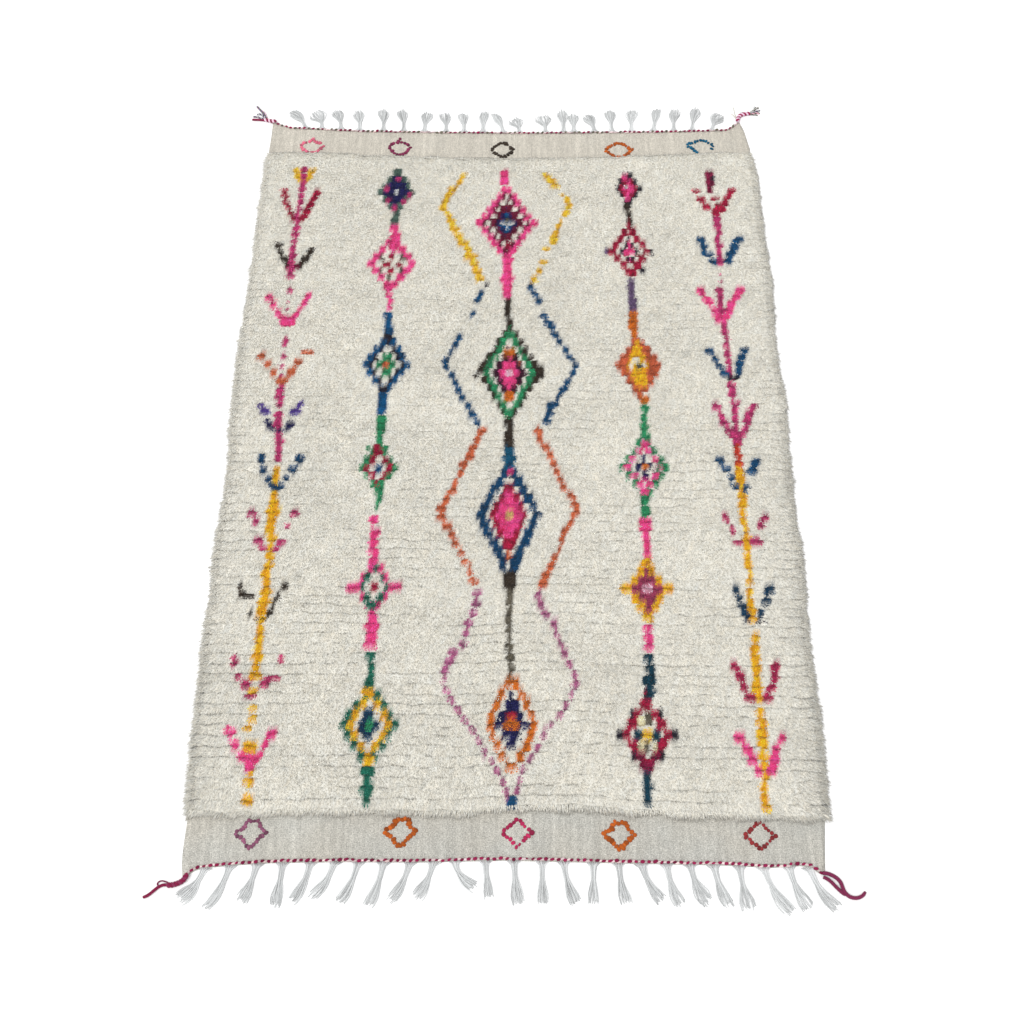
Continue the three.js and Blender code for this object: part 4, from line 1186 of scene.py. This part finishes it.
# Tiers of tufts on the pile's rounded edge: height of the roots, how far in they stand, how far they droop
SIDE_TIERS = ((5.5, 4.0, 0.0), (7.5, 4.0, 0.5), (9.2, 4.0, 1.2), (10.4, 6.5, 1.8), (11.4, 9.5, 2.2))
END_TIERS = ((5.5, 1.0, 0.0), (7.5, 1.0, 0.6), (9.5, 1.5, 1.5), (12.0, 3.5, 3.5), (14.0, 6.0, 5.0))
SIDE_STEPS = np.arange(-1112, 1128, 3.9)
END_STEPS = np.arange(-802, 822, 3.4)
LOCK_HALF_WIDTH = 2.9
LOCK_REACH = 8.5
LOWEST_TIP = 4.4


def rim_row(table, steps, outward, height, inset, droop, is_side):
    """One tier along a side or an end: its roots' x, y and height, their way out in x and y, and droop."""
    along = steps + chance.normal(0, 1.3, len(steps))
    off = read(table, along) - outward * (inset + chance.normal(0, 1.0, len(steps)))
    places = [off, along] if is_side else [along, off]
    ways = (outward, 0) if is_side else (0, outward)
    return np.column_stack([*places, *(np.full(len(steps), value) for value in (height, *ways, droop))])


def rim_roots():
    """The tiers of all four edges, column by column."""
    rows = []
    for height, inset, droop in SIDE_TIERS:
        for table, outward in ((PILE_LEFT, -1), (PILE_RIGHT, 1)):
            rows.append(rim_row(table, SIDE_STEPS, outward, height, inset, droop, True))
    for height, inset, droop in END_TIERS:
        for table, outward in ((PILE_NEAR, -1), (PILE_FAR, 1)):
            rows.append(rim_row(table, END_STEPS, outward, height, inset, droop, False))
    return np.concatenate(rows).T


def rim_locks():
    """Tufts that stick out over the floor at the two sides and hang over the bands at the two ends."""
    x, y, z, out_x, out_y, droop = rim_roots()
    count = len(x)
    side = np.abs(out_x)
    near_end = out_y < 0
    nearness = lengthwise(y, 1, 0.25)
    # Each row of knots bulges at the sides, with a painted shadow where two rows meet
    swell = np.abs(np.sin(math.pi * (y - read(PILE_NEAR, x)) / CHART_ROW))
    meeting_shadow = side * nearness * (1 - swell) ** 2
    reach = LOCK_REACH + np.abs(chance.normal(0, 2.6, count)) + 2.5 * slow_noise(x, y, 60, 6)
    reach = reach * (1 + 0.6 * side * nearness * (swell - 0.5)) + 2 * side * slow_noise(x, y, 38, 3)
    reach = reach + near_end * (6 * chance.random(count) + 5 * slow_noise(x, y, 55, 13))
    lean_x = out_x * reach + near_end * near_splay(x, y) + chance.normal(0, 3.0, count)
    lean_y = out_y * reach - side * (3 + 5 * nearness) + chance.normal(0, 2.2, count)
    root = np.column_stack([x, y, z])
    tip = root + np.column_stack([lean_x, lean_y, chance.normal(0, 0.8, count) - droop])
    tip[:, 2] = np.maximum(tip[:, 2], LOWEST_TIP)
    form = tube(3, 1, pointed=True)
    places = tapered(form, np.stack([root, tip], axis=1), LOCK_HALF_WIDTH)
    # Painted light and shade: the locks at the near end are painted lighter, and each lock is painted
    # darker at the root and lighter at the tip
    light = (1 - 0.4 * meeting_shadow) * np.where(near_end, 1.1, 1)
    colours = wool_colours(np.full(count, "cream", dtype=object)) * light[:, None]
    shades = np.clip(colours[:, None, :] * np.array([0.95, 1.06])[None, :, None], 0, 0.95)
    piece = copies("rim_locks", form, places, shades, wool_finish("rim_wool", 420.0, 0.90, 1.08, 0.0005))
    return fit(piece, "pile", "pile")


def walk(points, spacing):
    """Places spaced evenly on a smooth line through points, with the way ahead at each."""
    points = np.array(points, float)
    before = np.vstack([2 * points[0] - points[1], points, 2 * points[-1] - points[-2]])
    fine = []
    for i in range(1, len(before) - 2):
        a, b, c, d = before[i - 1:i + 3]
        for t in np.linspace(0, 1, 16, endpoint=False):
            fine.append(0.5 * (2 * b + (c - a) * t + (2 * a - 5 * b + 4 * c - d) * t ** 2
                               + (3 * b - 3 * c + d - a) * t ** 3))
    fine.append(points[-1])
    fine = np.array(fine)
    run = np.concatenate([[0], np.cumsum(np.linalg.norm(np.diff(fine, axis=0), axis=1))])
    count = max(2, round(run[-1] / spacing))
    at = np.linspace(0, run[-1], count + 1)
    places = np.column_stack([np.interp(at, run, fine[:, k]) for k in range(fine.shape[1])])
    ahead = np.gradient(places, axis=0)
    ahead /= np.linalg.norm(ahead[:, :2], axis=1, keepdims=True)
    return places, ahead


def plain_shades(names, rings):
    """A shade of each name's wool, the same at all rings of its tube."""
    colours = wool_colours(np.array(names, dtype=object))
    return np.repeat(colours[:, None, :], rings, axis=1)


# A stitch's middle lies this far over the cloth, and its tube is pressed flat above and below that
STITCH_LIFT = 0.4
PRESSED_ABOVE = 0.45
PRESSED_BELOW = 0.28


def stitches(name, lozenges):
    """Lozenges of short fat knots, one behind another, on a flatwoven band."""
    paths, names, thick = [], [], []
    along = np.array([-1, -0.55, 0, 0.55, 1])
    rest = CLOTH_TOP + STITCH_LIFT
    for lozenge in lozenges:
        outline = np.array(OUTLINES[lozenge.outline]) * (lozenge.half_width, lozenge.half_height)
        places, ahead = walk(outline + (lozenge.x, lozenge.y), lozenge.pitch)
        for place, way in zip(places[:-1], ahead[:-1]):
            if chance.random() > lozenge.share:
                continue
            middle = place + chance.normal(0, 1.1, 2)
            turn = way + chance.normal(0, 0.3, 2)
            half = lozenge.pitch * lozenge.fill / 2 * (1 + chance.normal(0, 0.14))
            line = middle + turn / np.linalg.norm(turn) * half * along[:, None]
            paths.append(np.column_stack([line, np.full(len(along), rest)]))
            names.append(lozenge.wool)
            thick.append(lozenge.thick * (1 + chance.normal(0, 0.15)))
    radii = np.array(thick)[:, None] * np.array([0.5, 0.9, 1.0, 0.9, 0.5])
    form = tube(8, len(along) - 1)
    places = along_paths(form, np.array(paths), radii)
    lift = places[..., 2] - rest
    places[..., 2] = rest + lift * np.where(lift > 0, PRESSED_ABOVE, PRESSED_BELOW)
    piece = copies(name, form, places, plain_shades(names, len(along)),
                   wool_finish(name + "_wool", 420.0, 0.60, 1.0, 0.0008))
    return fit(piece, "twined_yarn")


def edge_cord(name, node, line, pitch, thickness, share, wools):
    """Twining over the last row of the cloth: a dyed and an undyed yarn that cross over in turn. A dyed
    turn is short, fat and high, and an undyed one is long, thin and low."""
    places, ahead = walk(line, pitch)
    count = len(places)
    dyed = (np.arange(count) % 2 == 0) & (chance.random(count) < share)
    off = np.column_stack([-ahead[:, 1], ahead[:, 0]])
    along = np.array([-1.0, -0.66, -0.3, 0.3, 0.66, 1.0])
    height = np.array([0.3, 1.5, 2.4, 2.4, 1.5, 0.3])
    reach = pitch * np.where(dyed, 0.56, 0.9) * (1 + chance.normal(0, 0.18, count))
    paths = np.zeros((count, len(along), 3))
    jitter = chance.normal(0, 0.9, (count, 1))
    slant = 1.3 + chance.normal(0, 0.9, (count, 1))
    paths[:, :, :2] = (places[:, None, :2] + ahead[:, None, :2] * (reach[:, None] * along)[..., None]
                       + off[:, None, :] * (jitter + slant * along)[..., None])
    thick = thickness * np.where(dyed, 1, 0.7) * (1 + chance.normal(0, 0.12, count))
    paths[:, :, 2] = ON_CLOTH + thick[:, None] * 0.55 + height * np.where(dyed, 0.7, 0.35)[:, None]
    radii = thick[:, None] * np.array([0.45, 0.9, 1.0, 1.0, 0.9, 0.45])
    names = np.where(dyed, chance.choice(wools, count), "blush")
    form = tube(8, len(along) - 1)
    piece = copies(name, form, along_paths(form, paths, radii), plain_shades(names, len(along)),
                   wool_finish(name + "_yarn", 500.0, 0.70, 1.1, 0.0006))
    return fit(piece, "twined_yarn", node)


# A tassel's strands, their half width, and the steps from a strand's root to its tip
STRANDS = 18
STRAND_HALF_WIDTH = 1.4
STRAND_STEPS = np.linspace(0, 1, 11)


def tassel(spec, line, outward):
    """One brush of loose warp ends, as the path and the radii of each of its strands."""
    t = STRAND_STEPS
    root = np.array([spec.root, float(read(line, spec.root)) + outward])
    bend = root + (spec.lean * 0.3 * (1 - spec.sweep), outward * spec.reach * 0.6)
    tip = root + (spec.lean, outward * spec.reach)
    order = chance.permutation(STRANDS)
    # The ends of the warp gather from the edge into the neck, where they lie in a heap, and the brush
    # opens from there. The far brushes are wider, and rounder at their ends
    far = 1 if outward > 0 else 0
    wide = spec.spread * (0.55 + 0.17 * far)
    fan = np.interp(t, [0, 0.1, 0.2, 0.4, 0.78, 1],
                    [20, 8.5, 6.2 - 1.2 * far, 5.4 - 0.6 * far, wide, wide * (1 - 0.16 * far)])
    stack = np.interp(t, [0, 0.15, 0.38, 0.8, 1], [1.4, 3.0, 3.6, 1.5, 0.3])
    strands = []
    for k in range(STRANDS):
        share = 2 * (k + 0.5) / STRANDS - 1
        length = 1 - 0.11 * chance.random() + (0.06 if chance.random() < 0.1 else 0)
        length = length + far * (0.07 - 0.12 * share ** 2)
        s = (t * length)[:, None]
        spine = root * (1 - s) ** 2 + bend * 2 * s * (1 - s) + tip * s ** 2
        way = 2 * (bend - root) * (1 - s) + 2 * (tip - bend) * s
        way /= np.linalg.norm(way, axis=1, keepdims=True)
        side = np.column_stack([way[:, 1], -way[:, 0]]) * outward
        curl = 2.2 * np.sin(t * 5 + chance.random() * 6.3) * t
        offset = fan * (share + chance.normal(0, 0.06)) + curl
        radius = STRAND_HALF_WIDTH + 0.16 * chance.normal()
        height = radius + 0.05 + stack * (order[k] / STRANDS)
        path = np.column_stack([spine + side * offset[:, None], height])
        strands.append((path, radius * np.interp(t, [0, 0.9, 1], [1, 1, 0.7])))
    return strands


def tassels(name, node, line, specs, outward):
    """Brushes of loose warp ends: each strand leaves the edge, draws in to the neck and fans out."""
    strands = [strand for spec in specs for strand in tassel(spec, line, outward)]
    paths = np.array([path for path, _ in strands])
    radii = np.array([thick for _, thick in strands])
    rings = len(STRAND_STEPS)
    form = tube(4, rings - 1)
    shade = np.clip(chance.normal(0.94, 0.11, (len(paths), 1, 1)), 0.62, 1.12)
    colours = np.broadcast_to(linear("grey"), (len(paths), rings, 3)) * shade
    fade = np.interp(STRAND_STEPS, [0, 0.3, 0.6, 1], [1.12, 1.04, 0.98, 1.0])
    colours = np.clip(colours * fade[None, :, None], 0, 0.9)
    piece = copies(name, form, along_paths(form, paths, radii, math.pi / 4), colours,
                   wool_finish(name + "_wool", 700.0, 0.82, 1.12, 0.0004))
    return fit(piece, "fringe_yarn", node)


# Corner tails: each yarn's wools, one to a ply, its half thickness and the points that it follows
Yarn = namedtuple("Yarn", "wools half points")
TAILS = {
    "tail_near_left": [
        Yarn(("berry", "wine"), 4.2, [(-785, -1267), (-793, -1280), (-807, -1288), (-821, -1292),
                                      (-833, -1292)]),
        Yarn(("berry",), 4.0, [(-824, -1291), (-843, -1292), (-855, -1298), (-866, -1308),
                               (-877, -1317), (-888, -1322)]),
        Yarn(("wine",), 1.9, [(-824, -1289), (-837, -1283), (-848, -1281), (-855, -1284),
                              (-857, -1289), (-852, -1296)]),
    ],
    "tail_near_right": [
        Yarn(("claret",), 5.0, [(789, -1261), (805, -1263), (819, -1270), (830, -1281), (834, -1293),
                                (838, -1306), (848, -1317), (860, -1321), (872, -1320), (883, -1314),
                                (889, -1306)]),
        Yarn(("claret",), 4.5, [(790, -1270), (798, -1274), (807, -1281), (816, -1291), (823, -1299),
                                (831, -1307), (840, -1314)]),
    ],
    "tail_far_left": [
        Yarn(("berry", "rose"), 4.2, [(-790, 1284), (-802, 1287), (-817, 1293), (-831, 1296)]),
        Yarn(("berry",), 3.6, [(-826, 1294), (-851, 1297), (-874, 1298)]),
        Yarn(("grey", "heather"), 2.1, [(-828, 1298), (-845, 1306), (-860, 1312), (-872, 1312)]),
        Yarn(("heather", "grey"), 2.1, [(-826, 1300), (-844, 1322), (-860, 1324)]),
        Yarn(("stone", "heather"), 2.1, [(-824, 1302), (-840, 1330), (-855, 1350), (-864, 1362)]),
        Yarn(("grey", "rose"), 1.5, [(-822, 1303), (-832, 1330), (-848, 1345), (-862, 1354)]),
    ],
    "tail_far_right": [
        Yarn(("berry", "rose"), 4.2, [(786, 1288), (790, 1303), (796, 1315), (806, 1322), (818, 1326),
                                      (833, 1327)]),
        Yarn(("stone", "grey"), 2.0, [(832, 1328), (846, 1342), (853, 1356), (850, 1363)]),
        Yarn(("grey", "stone"), 2.0, [(830, 1329), (850, 1348), (866, 1358)]),
        Yarn(("grey", "heather"), 2.0, [(832, 1327), (856, 1340), (870, 1344)]),
        Yarn(("stone", "rose"), 2.0, [(832, 1326), (852, 1331), (868, 1331)]),
        Yarn(("grey", "stone"), 1.4, [(830, 1325), (848, 1324), (860, 1321)]),
        Yarn(("cream",), 1.6, [(788, 1300), (782, 1325), (779, 1360)]),
        Yarn(("cream",), 1.5, [(785, 1302), (776, 1322), (769, 1330)]),
        Yarn(("grey",), 1.4, [(795, 1318), (800, 1334), (812, 1341)]),
    ],
}


# A tail's rings, the length in which its plies turn once, and where it leaves the cord and is down
TAIL_RINGS = 40
PLY_TURN = 15
LEAVES_CORD = 8
IS_DOWN = 20


def yarn_line(points, rings):
    """A yarn's middle line in even steps, the way across it, and how far along each step is."""
    places, ahead = walk(points, 2.0)
    at = np.linspace(0, len(places) - 1, rings)
    steps = np.arange(len(places))
    line = np.column_stack([np.interp(at, steps, places[:, k]) for k in range(2)])
    way = np.column_stack([np.interp(at, steps, ahead[:, k]) for k in range(2)])
    run = np.concatenate([[0], np.cumsum(np.linalg.norm(np.diff(line, axis=0), axis=1))])
    return line, np.column_stack([-way[:, 1], way[:, 0]]), run


def corner_tail(node):
    """Yarns that run on from the edge cord over the corner and lie on the floor."""
    paths, radii, names = [], [], []
    for number, yarn in enumerate(TAILS[node]):
        line, off, run = yarn_line(yarn.points, TAIL_RINGS)
        plies = len(yarn.wools)
        swing = yarn.half * 0.75 if plies > 1 else 0.0
        # Only the first yarn comes down from the cloth
        start = ON_CLOTH if number == 0 else 0
        drop = np.interp(run, [0, LEAVES_CORD, IS_DOWN], [start, start, 0])
        for ply, wool in enumerate(yarn.wools):
            phase = 2 * math.pi * (run / PLY_TURN + ply / plies)
            centre = line + off * (swing * np.cos(phase))[:, None]
            height = drop + yarn.half + 0.05 + 0.5 * swing * (1 + np.sin(phase))
            paths.append(np.column_stack([centre, height]))
            radii.append(yarn.half * np.interp(run / run[-1], [0, 0.95, 1], [1, 1, 0.7]))
            names.append(wool)
    form = tube(6, TAIL_RINGS - 1)
    piece = copies(node + "_yarn", form, along_paths(form, np.array(paths), np.array(radii)),
                   plain_shades(names, TAIL_RINGS),
                   wool_finish(node + "_wool", 420.0, 0.66, 1.06, 0.0008))
    return fit(piece, "tail_yarn", node)


new_camera()
studio()
floor()
cloth = ground()
upper = [pile_bed(), *pile_tufts(), rim_locks()]
upper += [stitches("near_lozenges", NEAR_LOZENGES), stitches("far_lozenges", FAR_LOZENGES)]
upper.append(edge_cord("edge_cord_near", "twining_near", NEAR_END_LINE, pitch=8.0, thickness=3.8,
                       share=1.0, wools=["berry"]))
upper.append(edge_cord("edge_cord_far", "twining_far", FAR_END_LINE, pitch=7.8, thickness=3.0,
                       share=0.85, wools=["berry", "berry", "wine", "stone"]))
upper.append(tassels("tassels_near", "fringe_near", NEAR_END_LINE, NEAR_TASSELS, -1))
upper.append(tassels("tassels_far", "fringe_far", FAR_END_LINE, FAR_TASSELS, 1))
upper += [corner_tail(node) for node in TAILS]
